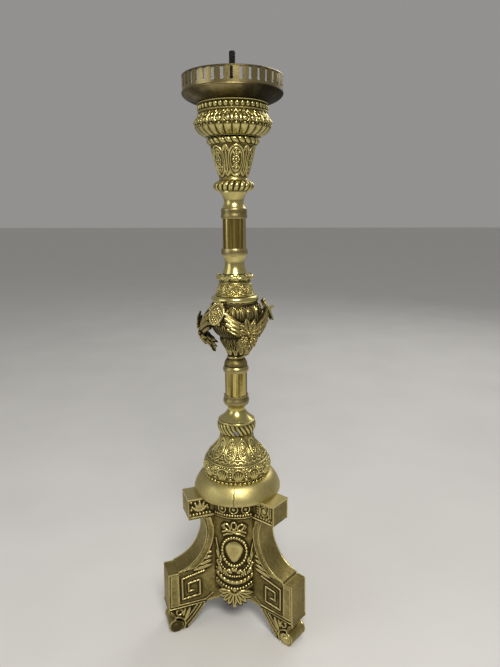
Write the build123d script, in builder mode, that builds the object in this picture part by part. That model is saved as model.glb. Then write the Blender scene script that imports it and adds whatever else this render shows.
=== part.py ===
"""Altar candlestick: a stack of hollow brass pieces on an iron tie rod, standing on a tripod base.

Millimetres, +Z up. The origin is on the candlestick's axis at floor level, and the front centre panel
faces -Y. Each piece is a separate solid, written to its own STEP file.
"""

import math
import os

from build123d import *

os.makedirs("parts", exist_ok=True)

# Tie rod, and the clearances of what runs on it
rod_r = 3.2  # threaded ends of a quarter inch rod
shank_r = 3.0
rod_bottom = 149.0
lower_thread_top = 162.0
nut_thread = (544.0, 556.0)
free_end = 579.4
rod_tip = 623.0
rod_hole_r = 3.6  # clearance hole through every piece of the stack
running_fit = 0.05
gap = 0.3  # between pieces that move past each other
inside_bore = 3.0  # a cavity that starts here reaches all the way in to the rod hole

# Nuts and washers
nut_flats = 11.0
nut_height = 6.0
washer_r = 9.0
washer_thickness = 1.6

# Tripod base
leg_width = 27.0
sheet = 1.5
panel_r = 37.0
panel_wall = 2.0
panel_bottom = 28.0  # the tip of the fan that the panel ends in
fan_level = 49.0
fan_half_width = 23.6
plate_thickness = 2.0
base_top = 163.0
block_r = 62.0
block_bottom = 138.0
cove_r = 45.0
cove_centre = (87.0, 120.0)
cove_run = 13.3  # from the cove's centre in to the end of its arc
cove_step = 2.0
shoulder = 75.0
foot_r = 88.0
foot_bottom = 30.0
toe_top = (89.0, 27.5)
toe_lip = (88.2, 25.4)
toe_notch = (81.0, 19.4)  # the strip turns in under the outer face before it rolls outwards
roll_r = 8.2
roll_centre = (80.0, 7.8)  # a little low, so that the roll is filed flat where it stands
roll_start = 78.0  # the angle about its centre at which the strip turns back and begins the roll
roll_sweep = 290.0
roll_cap_r = 7.3
roll_cap_height = 0.8
knob_r = 4.6
knob_height = 2.8  # above the end of the roll
side_plate_reach = 27.0  # how near the axis a side plate comes
plate_lift = 1.0  # the side plates stay off the floor
bracket_toe_r = 67.0
bracket_heel_r = 43.0
leg_angles = (-30.0, 90.0, 210.0)
panel_angles = (-90.0, 30.0, 150.0)

# Column: the height of each joint between two stacked pieces
bead_seat = 180.4
flange_top = 182.0
beads_top = 184.8
torus_top = 204.0
bell_top = 229.5
lower_collar_top = 246.0
lower_neck_top = 262.6
lower_foot_ring_top = 273.6
lower_tube_top = 300.4
lower_head_ring_top = 306.2
urn_foot_top = 339.5
urn_bowl_top = 378.6
urn_rim_top = 384.9
urn_cover_top = 399.8
leaf_collar_top = 408.2
urn_neck_top = 426.8
upper_foot_ring_top = 434.0
upper_tube_top = 464.4
upper_head_ring_top = 475.0
upper_neck_top = 491.6
upper_collar_top = 504.4
cone_top = 535.6
rope_top = 542.6
bowl_top = 566.0
capital_top = 575.0
web = 2.6  # wall across a hollow piece, round the rod hole

# Tubes, each centred by a spigot of the ring at either end
tube_r = 12.2
tube_wall = 1.2
spigot_r = tube_r - tube_wall - running_fit
spigot_length = 4.0

# Capital, bush and drip pan
capital_r = 35.4
bush_seat = 572.0
bush_recess_r = 32.0
bush_ledge_r = 28.0
bush_neck_r = 6.0
bush_neck_top = 579.0
pan_bottom = capital_top + gap
pan_sheet = 1.6
gallery_bottom = 585.2
gallery_top = 600.0
gallery_r = 49.5
gallery_wall = 1.2
rim_roll_r = 0.9
slot_count = 36
slot_width = 2.6
slot_bottom = 589.0
slot_top = 598.0
slot_foot_r = 1.7

# Urn ornament: three cartouches on screws, with a garland between each two and a pendant under each garland
cartouche_angles = (8.0, 128.0, 248.0)
garland_angles = (68.0, 188.0, 308.0)
cartouche_tilt = 26.5  # the cartouches lean in at the top, along the bowl's shoulder
cartouche_back = (32.4, 368.0)
cartouche_size = (19.0, 24.0)
cartouche_thickness = 3.4
screw_r = 1.5
screw_depth = 8.5
screw_stub = 6.5
screw_nut_r = 2.9
screw_nut_height = 2.4
swag_end_level = 364.0
swag_circle = 34.5
swag_half_angle = 38.0
swag_drop = 17.0
swag_r = 2.6
flower_r = 6.4
leaf_length = 17.0
leaf_half_width = 5.5
pendant_back = (29.7, 345.5)
pendant_tilt = -22.0  # the pendants hang in towards the stem
pendant_length = 24.0
pendant_width = 11.0
pendant_thickness = 3.6


def finish(piece, label):
    """Label a finished piece and write it to its own file."""
    piece.part.label = label
    export_step(piece.part, f"parts/{label}.step")


def turned_section(runs, bore=rod_hole_r, cavity=None):
    """The section of a turned piece, to be revolved about the axis.

    runs go up its outside in (radius, height) points: two points are a straight line, more are a smooth
    curve. cavity is the closed outline of the hollow inside.
    """
    foot = runs[0][0]
    crown = runs[-1][-1]
    with BuildSketch(Plane.XZ) as section:
        with BuildLine():
            for run in runs:
                if len(run) == 2:
                    Line(*run)
                else:
                    Spline(*run)
            Polyline(crown, (bore, crown[1]), (bore, foot[1]), foot)
        make_face()
        if cavity:
            with BuildLine():
                Polyline(*cavity, close=True)
            make_face(mode=Mode.SUBTRACT)
    return section.sketch


def radial_plane(angle, radius, height, tilt=0.0):
    """A plane that faces outwards, with its y axis up, leaning in at the top by tilt."""
    turn = math.radians(angle)
    lean = math.radians(tilt)
    out = Vector(math.cos(turn), math.sin(turn), 0)
    across = Vector(-math.sin(turn), math.cos(turn), 0)
    facing = out * math.cos(lean) + Vector(0, 0, math.sin(lean))
    return Plane(origin=out * radius + Vector(0, 0, height), x_dir=across, z_dir=facing)


def leg_plane(angle, shift=0.0):
    """The upright plane through the axis along a leg, moved sideways by shift."""
    turn = math.radians(angle)
    along = Vector(math.cos(turn), math.sin(turn), 0)
    side = Vector(math.sin(turn), -math.cos(turn), 0)
    return Plane(origin=side * shift, x_dir=along, z_dir=side)


# ---- Tripod base ----


def on_roll(angle):
    """A point of the rolled toe, by its angle about the roll's centre."""
    turn = math.radians(angle)
    return (roll_centre[0] + roll_r * math.cos(turn), roll_centre[1] + roll_r * math.sin(turn))


def leg_line():
    """The outer line of a leg in (radius, height): block, cove, shoulder, outer face, toe and notch."""
    cx, cz = cove_centre
    block_in = (cx - (cove_r**2 - (block_bottom - cz) ** 2) ** 0.5, block_bottom)
    cove_end = (cx - cove_run, cz - (cove_r**2 - cove_run**2) ** 0.5)
    step = cove_end[0] + cove_step
    Polyline((block_r, base_top - plate_thickness), (block_r, block_bottom), block_in)
    ThreePointArc(block_in, (cx - cove_r, cz), cove_end)
    Polyline(
        cove_end,
        (step, cove_end[1]),
        (step, shoulder),
        (foot_r - 1.0, shoulder),
        (foot_r, foot_bottom),
        toe_top,
        toe_lip,
        toe_notch,
        on_roll(roll_start),
    )


def strip_section():
    """The section of the folded strip that covers a leg's outer side and ends in the roll it stands on."""
    with BuildSketch() as section:
        with BuildLine():
            leg_line()
            ThreePointArc(
                on_roll(roll_start),
                on_roll(roll_start - roll_sweep / 2),
                on_roll(roll_start - roll_sweep),
            )
            offset(amount=sheet, side=Side.RIGHT)
        make_face()
    return section.sketch


for number, angle in enumerate(leg_angles, start=1):
    with BuildPart() as leg_strip:
        with BuildSketch(leg_plane(angle)):
            add(strip_section())
        extrude(amount=leg_width / 2, both=True)
        for way in (1, -1):
            for radius, height in ((roll_cap_r, roll_cap_height), (knob_r, knob_height)):
                with BuildSketch(leg_plane(angle, way * leg_width / 2)):
                    with Locations(roll_centre):
                        Circle(radius)
                extrude(amount=way * height)
        split(bisect_by=Plane.XY, keep=Keep.TOP)
    finish(leg_strip, f"leg_strip_{number}")

    for hand, way in (("right", 1), ("left", -1)):
        with BuildPart() as side_plate:
            with BuildSketch(leg_plane(angle, way * (leg_width / 2 - sheet))):
                with BuildLine():
                    leg_line()
                    Polyline(
                        on_roll(roll_start),
                        (roll_centre[0], plate_lift),
                        (bracket_toe_r, plate_lift),
                        (55.0, 14.0),
                        (bracket_heel_r, foot_bottom),
                        (side_plate_reach, foot_bottom),
                        (side_plate_reach, base_top - plate_thickness),
                        (block_r, base_top - plate_thickness),
                    )
                make_face()
                with Locations(roll_centre):
                    Circle(roll_r, mode=Mode.SUBTRACT)
                add(strip_section(), mode=Mode.SUBTRACT)
            extrude(amount=way * sheet)
        finish(side_plate, f"leg_{number}_{hand}_plate")

for number, angle in enumerate(panel_angles, start=1):
    with BuildPart() as centre_panel:
        with BuildSketch(Plane.XY.offset(panel_bottom)):
            Circle(panel_r)
            Circle(panel_r - panel_wall, mode=Mode.SUBTRACT)
            with PolarLocations(block_r / 2, 3, start_angle=leg_angles[0]):
                Rectangle(block_r, leg_width, mode=Mode.SUBTRACT)
            with PolarLocations(panel_r, 1, start_angle=angle):
                Rectangle(panel_r, 2 * panel_r, mode=Mode.INTERSECT)
        extrude(amount=base_top - plate_thickness - panel_bottom)
        with BuildSketch(radial_plane(angle, 0, 0)):
            with Locations((0, (fan_level + base_top) / 2)):
                Rectangle(2 * panel_r, base_top - fan_level)
            with Locations((0, fan_level)):
                Ellipse(fan_half_width, fan_level - panel_bottom)
        extrude(amount=2 * panel_r, mode=Mode.INTERSECT)
    finish(centre_panel, f"centre_panel_{number}")

with BuildPart() as base_top_plate:
    with BuildSketch(Plane.XY.offset(base_top - plate_thickness)):
        Circle(panel_r)
        with PolarLocations(block_r / 2, 3, start_angle=leg_angles[0]):
            Rectangle(block_r, leg_width)
        Circle(rod_hole_r, mode=Mode.SUBTRACT)
    extrude(amount=plate_thickness)
finish(base_top_plate, "base_top_plate")

# ---- Tie rod, nuts and washers ----

with BuildPart() as tie_rod:
    for radius, bottom, top in (
        (rod_r, rod_bottom, lower_thread_top),
        (shank_r, lower_thread_top, nut_thread[0]),
        (rod_r, *nut_thread),
        (shank_r, nut_thread[1], free_end),
        (rod_r, free_end, rod_tip),
    ):
        with BuildSketch(Plane.XY.offset(bottom)):
            Circle(radius)
        extrude(amount=top - bottom)
    chamfer(tie_rod.edges().group_by(Axis.Z)[-1], 0.6)
    chamfer(tie_rod.edges().group_by(Axis.Z)[0], 0.6)
finish(tie_rod, "tie_rod")

plate_under = base_top - plate_thickness
nut_seat = rope_top + web
for label, bottom in (("bottom_washer", plate_under - washer_thickness), ("capital_washer", nut_seat)):
    with BuildPart() as washer:
        with BuildSketch(Plane.XY.offset(bottom)):
            Circle(washer_r)
            Circle(rod_hole_r, mode=Mode.SUBTRACT)
        extrude(amount=washer_thickness)
    finish(washer, label)

for label, bottom in (
    ("bottom_nut", plate_under - washer_thickness - nut_height),
    ("capital_nut", nut_seat + washer_thickness),
):
    with BuildPart() as nut:
        with BuildSketch(Plane.XY.offset(bottom)):
            RegularPolygon(radius=nut_flats / 2, side_count=6, major_radius=False)
            Circle(rod_r + running_fit, mode=Mode.SUBTRACT)
        extrude(amount=nut_height)
    finish(nut, label)

# ---- Socle: flange, bead ring, acanthus torus, bell and gadroon collar ----

with BuildPart() as base_flange:
    revolve(
        turned_section(
            [
                [(49.3, base_top), (49.4, 165.5)],
                [(49.4, 165.5), (48.3, 169.4), (45.3, 175.3), (42.2, 179.4), (38.6, flange_top)],
                [(38.6, flange_top), (37.2, flange_top)],
                [(37.2, flange_top), (37.2, bead_seat)],
            ],
            cavity=[
                (inside_bore, base_top),
                (47.2, base_top),
                (47.0, 165.5),
                (43.6, 173.6),
                (40.0, 177.8),
                (inside_bore, bead_seat - web),
            ],
        ),
        axis=Axis.Z,
    )
finish(base_flange, "base_flange")

with BuildPart() as bead_ring:
    with BuildSketch(Plane.XY.offset(bead_seat)):
        Circle(36.7)
        Circle(32.3, mode=Mode.SUBTRACT)
    extrude(amount=beads_top - bead_seat)
    fillet(bead_ring.edges().filter_by(GeomType.CIRCLE), 1.8)
finish(bead_ring, "bead_ring")

with BuildPart() as acanthus_torus:
    revolve(
        turned_section(
            [[(35.2, beads_top), (37.9, 187.2), (38.4, 192.0), (36.7, 199.0), (33.8, torus_top)]],
            cavity=[
                (inside_bore, beads_top),
                (32.6, beads_top),
                (35.2, 188.4),
                (35.6, 192.0),
                (33.9, 198.0),
                (31.4, torus_top - web),
                (inside_bore, torus_top - web),
            ],
        ),
        axis=Axis.Z,
    )
finish(acanthus_torus, "acanthus_torus")

with BuildPart() as lower_bell:
    revolve(
        turned_section(
            [
                [
                    (33.4, torus_top),
                    (31.4, 207.0),
                    (25.6, 213.7),
                    (20.7, 220.6),
                    (19.2, 225.4),
                    (18.7, bell_top),
                ]
            ],
            cavity=[
                (inside_bore, torus_top),
                (30.2, torus_top),
                (23.4, 212.0),
                (18.4, 219.4),
                (16.6, bell_top - web),
                (inside_bore, bell_top - web),
            ],
        ),
        axis=Axis.Z,
    )
finish(lower_bell, "lower_bell")

with BuildPart() as lower_gadroon_collar:
    revolve(
        turned_section(
            [[(18.7, bell_top), (20.4, 233.1), (21.6, 238.4), (20.9, 242.8), (19.3, lower_collar_top)]],
            cavity=[
                (inside_bore, bell_top + web),
                (17.0, bell_top + web),
                (18.8, 237.0),
                (18.4, 241.8),
                (16.8, lower_collar_top),
                (inside_bore, lower_collar_top),
            ],
        ),
        axis=Axis.Z,
    )
finish(lower_gadroon_collar, "lower_gadroon_collar")

with BuildPart() as lower_neck:
    revolve(
        turned_section(
            [
                [(19.2, lower_collar_top), (15.9, 248.8), (12.3, 252.3), (9.8, 256.4)],
                [(9.8, 256.4), (10.2, 259.4), (12.6, lower_neck_top)],
            ]
        ),
        axis=Axis.Z,
    )
finish(lower_neck, "lower_neck")

# ---- Two plain tubes between turned rings ----


def foot_ring(label, top, outside):
    """The ring under a tube, with its spigot up inside the tube."""
    with BuildPart() as piece:
        revolve(
            turned_section(
                [
                    outside,
                    [(outside[-1][0], top), (spigot_r, top)],
                    [(spigot_r, top), (spigot_r, top + spigot_length)],
                ]
            ),
            axis=Axis.Z,
        )
    finish(piece, label)


def head_ring(label, bottom, outside):
    """The ring on a tube, with its spigot down inside the tube."""
    with BuildPart() as piece:
        revolve(
            turned_section(
                [
                    [(spigot_r, bottom - spigot_length), (spigot_r, bottom)],
                    [(spigot_r, bottom), (outside[0][0], bottom)],
                    outside,
                ]
            ),
            axis=Axis.Z,
        )
    finish(piece, label)


def plain_tube(label, bottom, top):
    """A plain drawn tube."""
    with BuildPart() as piece:
        with BuildSketch(Plane.XY.offset(bottom)):
            Circle(tube_r)
            Circle(tube_r - tube_wall, mode=Mode.SUBTRACT)
        extrude(amount=top - bottom)
    finish(piece, label)


foot_ring(
    "lower_tube_foot_ring",
    lower_foot_ring_top,
    [(12.9, lower_neck_top), (14.1, 264.8), (14.5, 267.6), (13.6, 270.6), (13.6, lower_foot_ring_top)],
)
plain_tube("lower_tube", lower_foot_ring_top, lower_tube_top)
head_ring(
    "lower_tube_head_ring",
    lower_tube_top,
    [(13.4, lower_tube_top), (14.1, 302.4), (14.0, 304.6), (13.2, lower_head_ring_top)],
)
foot_ring(
    "upper_tube_foot_ring",
    upper_foot_ring_top,
    [(13.1, urn_neck_top), (13.8, 429.0), (13.8, 432.0), (13.3, upper_foot_ring_top)],
)
plain_tube("upper_tube", upper_foot_ring_top, upper_tube_top)
head_ring(
    "upper_tube_head_ring",
    upper_tube_top,
    [(13.2, upper_tube_top), (13.6, 467.8), (13.2, 470.0), (13.4, 473.2), (12.6, upper_head_ring_top)],
)

# ---- Urn ----

with BuildPart() as urn_foot:
    revolve(
        turned_section(
            [
                [(13.4, lower_head_ring_top), (13.6, 308.6), (12.9, 311.9), (10.6, 315.9), (9.4, 319.2)],
                [(9.4, 319.2), (10.2, 323.0), (12.9, 328.8), (16.0, 334.6), (16.8, urn_foot_top)],
            ]
        ),
        axis=Axis.Z,
    )
finish(urn_foot, "urn_foot")

with BuildPart() as urn_bowl:
    revolve(
        turned_section(
            [
                [
                    (16.9, urn_foot_top),
                    (22.6, 345.4),
                    (27.0, 354.0),
                    (29.0, 364.0),
                    (27.9, 370.8),
                    (24.2, urn_bowl_top),
                ]
            ],
            cavity=[
                (inside_bore, urn_foot_top + web),
                (16.0, urn_foot_top + web),
                (21.0, 347.8),
                (24.6, 355.4),
                (26.4, 364.0),
                (25.2, 370.6),
                (21.8, urn_bowl_top),
                (inside_bore, urn_bowl_top),
            ],
        ),
        axis=Axis.Z,
    )
    for angle in cartouche_angles:
        with BuildSketch(radial_plane(angle, *cartouche_back, cartouche_tilt)):
            Circle(screw_r + running_fit)
        extrude(amount=-screw_depth, mode=Mode.SUBTRACT)
finish(urn_bowl, "urn_bowl")

with BuildPart() as urn_rim_ring:
    revolve(
        turned_section(
            [[(24.2, urn_bowl_top), (25.2, 380.8), (24.8, 383.2), (23.1, urn_rim_top)]],
            bore=18.6,
        ),
        axis=Axis.Z,
    )
finish(urn_rim_ring, "urn_rim_ring")

with BuildPart() as urn_cover:
    revolve(
        turned_section(
            [[(21.4, urn_rim_top), (19.5, 390.0), (18.0, 394.6), (16.8, urn_cover_top)]],
            cavity=[
                (inside_bore, urn_rim_top),
                (19.2, urn_rim_top),
                (15.2, urn_cover_top - web),
                (inside_bore, urn_cover_top - web),
            ],
        ),
        axis=Axis.Z,
    )
finish(urn_cover, "urn_cover")

with BuildPart() as leaf_collar:
    revolve(
        turned_section(
            [[(17.3, urn_cover_top), (19.1, 402.6), (19.7, 405.0), (18.4, 407.4), (16.4, leaf_collar_top)]]
        ),
        axis=Axis.Z,
    )
finish(leaf_collar, "leaf_collar")

with BuildPart() as urn_neck:
    revolve(
        turned_section(
            [[(13.2, leaf_collar_top), (12.0, 411.4), (10.6, 416.4), (10.8, 421.8), (12.9, urn_neck_top)]]
        ),
        axis=Axis.Z,
    )
finish(urn_neck, "urn_neck")

# ---- Urn ornament ----

for number, angle in enumerate(cartouche_angles, start=1):
    with BuildPart() as cartouche:
        with BuildSketch(radial_plane(angle, *cartouche_back, cartouche_tilt)):
            Ellipse(cartouche_size[0] / 2, cartouche_size[1] / 2)
            Circle(screw_r + running_fit, mode=Mode.SUBTRACT)
        extrude(amount=cartouche_thickness)
    finish(cartouche, f"cartouche_{number}")

with BuildPart() as cartouche_screws:
    for angle in cartouche_angles:
        screw_plane = radial_plane(angle, *cartouche_back, cartouche_tilt)
        with BuildSketch(screw_plane.offset(-screw_depth)):
            Circle(screw_r)
        extrude(amount=screw_depth + cartouche_thickness + screw_stub)
        with BuildSketch(screw_plane.offset(cartouche_thickness)):
            Circle(screw_nut_r)
        extrude(amount=screw_nut_height)
finish(cartouche_screws, "cartouche_screws")

for number, angle in enumerate(garland_angles, start=1):
    middle = radial_plane(angle, swag_circle, swag_end_level - swag_drop)
    side = swag_circle * math.sin(math.radians(swag_half_angle))
    set_back = swag_circle * (1 - math.cos(math.radians(swag_half_angle)))
    with BuildPart() as garland:
        with BuildLine() as swag_path:
            ThreePointArc(
                middle.from_local_coords((-side, swag_drop, -set_back)),
                middle.origin,
                middle.from_local_coords((side, swag_drop, -set_back)),
            )
        with BuildSketch(swag_path.line ^ 0):
            Circle(swag_r)
        sweep()
        with BuildSketch(middle.offset(-swag_r / 2)):
            with Locations((0, swag_r + flower_r - 1.0)):
                RegularPolygon(radius=flower_r, side_count=8)
            with BuildLine():
                Spline(
                    (-leaf_half_width, 0),
                    (-0.85 * leaf_half_width, -0.45 * leaf_length),
                    (0, -leaf_length),
                    (0.85 * leaf_half_width, -0.45 * leaf_length),
                    (leaf_half_width, 0),
                )
                Line((leaf_half_width, 0), (-leaf_half_width, 0))
            make_face()
        extrude(amount=swag_r)
    finish(garland, f"garland_{number}")

for number, angle in enumerate(garland_angles, start=1):
    with BuildPart() as pendant:
        with BuildSketch(radial_plane(angle, *pendant_back, pendant_tilt)):
            with BuildLine():
                Spline(
                    (-1.2, 0),
                    (-pendant_width / 2, -0.35 * pendant_length),
                    (0, -pendant_length),
                    (pendant_width / 2, -0.35 * pendant_length),
                    (1.2, 0),
                )
                Line((1.2, 0), (-1.2, 0))
            make_face()
        extrude(amount=pendant_thickness)
    finish(pendant, f"pendant_{number}")

# ---- Upper neck and capital ----

with BuildPart() as upper_neck:
    revolve(
        turned_section(
            [
                [(12.4, upper_head_ring_top), (10.8, 478.2), (10.2, 481.4), (11.0, 485.2), (13.9, 490.2)],
                [(13.9, 490.2), (13.9, upper_neck_top)],
            ]
        ),
        axis=Axis.Z,
    )
finish(upper_neck, "upper_neck")

with BuildPart() as upper_gadroon_collar:
    revolve(
        turned_section(
            [
                [
                    (15.6, upper_neck_top),
                    (19.5, 493.2),
                    (20.9, 496.2),
                    (19.7, 499.4),
                    (16.4, 501.8),
                    (14.9, upper_collar_top),
                ]
            ]
        ),
        axis=Axis.Z,
    )
finish(upper_gadroon_collar, "upper_gadroon_collar")

with BuildPart() as capital_cone:
    revolve(
        turned_section(
            [[(14.9, upper_collar_top), (19.6, 521.4), (23.6, cone_top)]],
            cavity=[
                (inside_bore, upper_collar_top + web),
                (13.2, upper_collar_top + web),
                (21.2, cone_top),
                (inside_bore, cone_top),
            ],
        ),
        axis=Axis.Z,
    )
finish(capital_cone, "capital_cone")

with BuildPart() as rope_collar:
    revolve(
        turned_section(
            [[(23.9, cone_top), (25.7, 537.2), (26.6, 539.6), (26.2, 541.6), (25.0, rope_top)]],
            bore=18.0,
        ),
        axis=Axis.Z,
    )
finish(rope_collar, "rope_collar")

with BuildPart() as capital_bowl:
    revolve(
        turned_section(
            [
                [
                    (26.6, rope_top),
                    (34.0, 546.6),
                    (38.0, 551.2),
                    (39.3, 555.8),
                    (37.6, 560.6),
                    (35.7, 563.6),
                    (35.2, bowl_top),
                ]
            ],
            cavity=[
                (inside_bore, rope_top + web),
                (26.6, rope_top + web),
                (32.0, 549.0),
                (35.8, 553.6),
                (36.4, 556.6),
                (34.4, 560.2),
                (32.4, bowl_top),
                (inside_bore, bowl_top),
            ],
        ),
        axis=Axis.Z,
    )
finish(capital_bowl, "capital_bowl")

with BuildPart() as capital_bead_collar:
    with BuildSketch(Plane.XY.offset(bowl_top)):
        Circle(capital_r)
        Circle(bush_ledge_r, mode=Mode.SUBTRACT)
    extrude(amount=capital_top - bowl_top)
    with BuildSketch(Plane.XY.offset(bush_seat)):
        Circle(bush_recess_r)
    extrude(amount=capital_top - bush_seat, mode=Mode.SUBTRACT)
finish(capital_bead_collar, "capital_bead_collar")

# ---- Centring bush and drip pan, which lift off ----

with BuildPart() as pan_bush:
    with BuildSketch(Plane.XY.offset(bush_seat + gap)):
        Circle(bush_recess_r - gap)
        Circle(rod_r + running_fit, mode=Mode.SUBTRACT)
    extrude(amount=capital_top - bush_seat - gap)
    with BuildSketch(Plane.XY.offset(capital_top)):
        Circle(bush_neck_r)
        Circle(rod_r + running_fit, mode=Mode.SUBTRACT)
    extrude(amount=bush_neck_top - capital_top)
finish(pan_bush, "pan_bush")

with BuildPart() as drip_pan_dish:
    revolve(
        turned_section(
            [
                [
                    (36.1, pan_bottom),
                    (41.0, 576.9),
                    (45.6, 579.0),
                    (49.2, 581.8),
                    (50.2, 584.2),
                    (49.7, gallery_bottom),
                ]
            ],
            bore=bush_neck_r + running_fit,
            cavity=[
                (inside_bore, pan_bottom + pan_sheet),
                (35.8, pan_bottom + pan_sheet),
                (40.4, 578.6),
                (44.6, 580.6),
                (47.4, 582.8),
                (48.2, gallery_bottom),
                (inside_bore, gallery_bottom),
            ],
        ),
        axis=Axis.Z,
    )
finish(drip_pan_dish, "drip_pan_dish")

slot_height = slot_top - slot_bottom
with BuildPart() as drip_pan_gallery:
    with BuildSketch(Plane.XY.offset(gallery_bottom)):
        Circle(gallery_r)
        Circle(gallery_r - gallery_wall, mode=Mode.SUBTRACT)
    extrude(amount=gallery_top - rim_roll_r - gallery_bottom)
    with BuildSketch(Plane.XZ):
        with Locations((gallery_r - gallery_wall / 2, gallery_top - rim_roll_r)):
            Circle(rim_roll_r)
    revolve(axis=Axis.Z)
    with Locations((0, 0, (slot_bottom + slot_top) / 2)):
        with PolarLocations(gallery_r, slot_count):
            Box(4 * gallery_wall, slot_width, slot_height, mode=Mode.SUBTRACT)
    with Locations((0, 0, slot_bottom)):
        with PolarLocations(gallery_r, slot_count):
            Cylinder(slot_foot_r, 4 * gallery_wall, rotation=(0, 90, 0), mode=Mode.SUBTRACT)
finish(drip_pan_gallery, "drip_pan_gallery")
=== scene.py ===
import functools
import math

import bpy
import numpy as np
from mathutils import Matrix, Vector
from mathutils.geometry import delaunay_2d_cdt


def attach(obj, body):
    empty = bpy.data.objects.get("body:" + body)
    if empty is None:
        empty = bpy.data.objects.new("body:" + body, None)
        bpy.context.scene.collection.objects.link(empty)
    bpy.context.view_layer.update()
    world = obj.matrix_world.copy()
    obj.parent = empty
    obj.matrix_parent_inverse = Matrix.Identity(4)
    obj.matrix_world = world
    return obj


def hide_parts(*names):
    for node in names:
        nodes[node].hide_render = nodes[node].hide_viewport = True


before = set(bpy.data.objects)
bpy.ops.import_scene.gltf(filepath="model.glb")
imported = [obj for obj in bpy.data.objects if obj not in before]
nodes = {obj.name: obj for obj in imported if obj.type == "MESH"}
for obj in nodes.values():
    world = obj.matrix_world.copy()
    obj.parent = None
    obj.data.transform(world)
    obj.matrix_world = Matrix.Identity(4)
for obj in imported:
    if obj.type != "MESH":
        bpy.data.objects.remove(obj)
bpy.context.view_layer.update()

MM = 0.001
LEG_ANGLES = (-30, 90, 210)  # degrees
PANEL_ANGLES = (-90, 30, 150)
TAU = 2 * math.pi
STAND = "stand"

# ---------------------------------------------------------------- stage, light and camera

VIEW_AZIMUTH = 11.0  # degrees, from straight in front of the front panel towards +X
VIEW_DISTANCE = 0.571
VIEW_HEIGHT = 0.472
VIEW_PITCH = 12.8
VIEW_YAW = 1.58
VIEW_ROLL = 0.35
FOCAL_LENGTH = 29.15


def add_camera():
    """The camera stands low and close, a little to the right of the front panel."""
    azimuth = math.radians(VIEW_AZIMUTH)
    heading = math.radians(VIEW_YAW) - azimuth
    pitch = math.radians(VIEW_PITCH)
    data = bpy.data.cameras.new("camera")
    data.lens = FOCAL_LENGTH
    data.sensor_width = 36.0
    data.clip_start = 0.01
    camera = bpy.data.objects.new("camera", data)
    bpy.context.scene.collection.objects.link(camera)
    ahead = Vector((math.sin(heading), math.cos(heading), 0))
    forward = ahead * math.cos(pitch) - Vector((0, 0, math.sin(pitch)))
    right = Vector((math.cos(heading), -math.sin(heading), 0))
    up = right.cross(forward)
    turned = Matrix((right, up, -forward)).transposed().to_4x4()
    turned = turned @ Matrix.Rotation(math.radians(-VIEW_ROLL), 4, "Z")
    place = Vector((math.sin(azimuth), -math.cos(azimuth), 0)) * VIEW_DISTANCE
    camera.matrix_world = Matrix.Translation(place + Vector((0, 0, VIEW_HEIGHT))) @ turned
    bpy.context.scene.camera = camera


def add_light(name, place, target, size, power, colour):
    """A soft rectangular studio lamp that faces its target."""
    data = bpy.data.lights.new(name, "AREA")
    data.shape = "RECTANGLE"
    data.size, data.size_y = size
    data.energy = power
    data.color = colour
    lamp = bpy.data.objects.new(name, data)
    lamp.location = place
    lamp.rotation_euler = (Vector(target) - Vector(place)).to_track_quat("-Z", "Y").to_euler()
    bpy.context.scene.collection.objects.link(lamp)


WORLD_COLOUR = (0.80, 0.79, 0.77, 1)
WORLD_STRENGTH = 0.36
FLOOR_SIZE = 30.0
LAMPS = (
    # name, place, target, size, power, colour
    ("key", (0.34, -1.00, 1.35), (0, 0, 0.30), (0.5, 0.5), 17, (1.0, 0.97, 0.91)),
    ("fill", (-1.3, -0.9, 0.8), (0, 0, 0.30), (0.9, 1.1), 4, (0.95, 0.97, 1.0)),
    ("back", (0.6, 1.4, 1.4), (0, 0, 0.35), (1.0, 0.9), 8, (1.0, 0.98, 0.95)),
)


def add_stage():
    """A plain pale floor, a soft world and three soft lamps."""
    world = bpy.data.worlds.new("studio")
    bpy.context.scene.world = world
    world.use_nodes = True
    background = world.node_tree.nodes["Background"]
    background.inputs["Color"].default_value = WORLD_COLOUR
    background.inputs["Strength"].default_value = WORLD_STRENGTH
    bpy.ops.mesh.primitive_plane_add(size=FLOOR_SIZE)
    floor = bpy.context.object
    floor.name = "floor"
    floor.data.materials.append(floor_material())
    for lamp in LAMPS:
        add_light(*lamp)
    bpy.context.scene.view_settings.view_transform = "Standard"


# ---------------------------------------------------------------- materials


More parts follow.
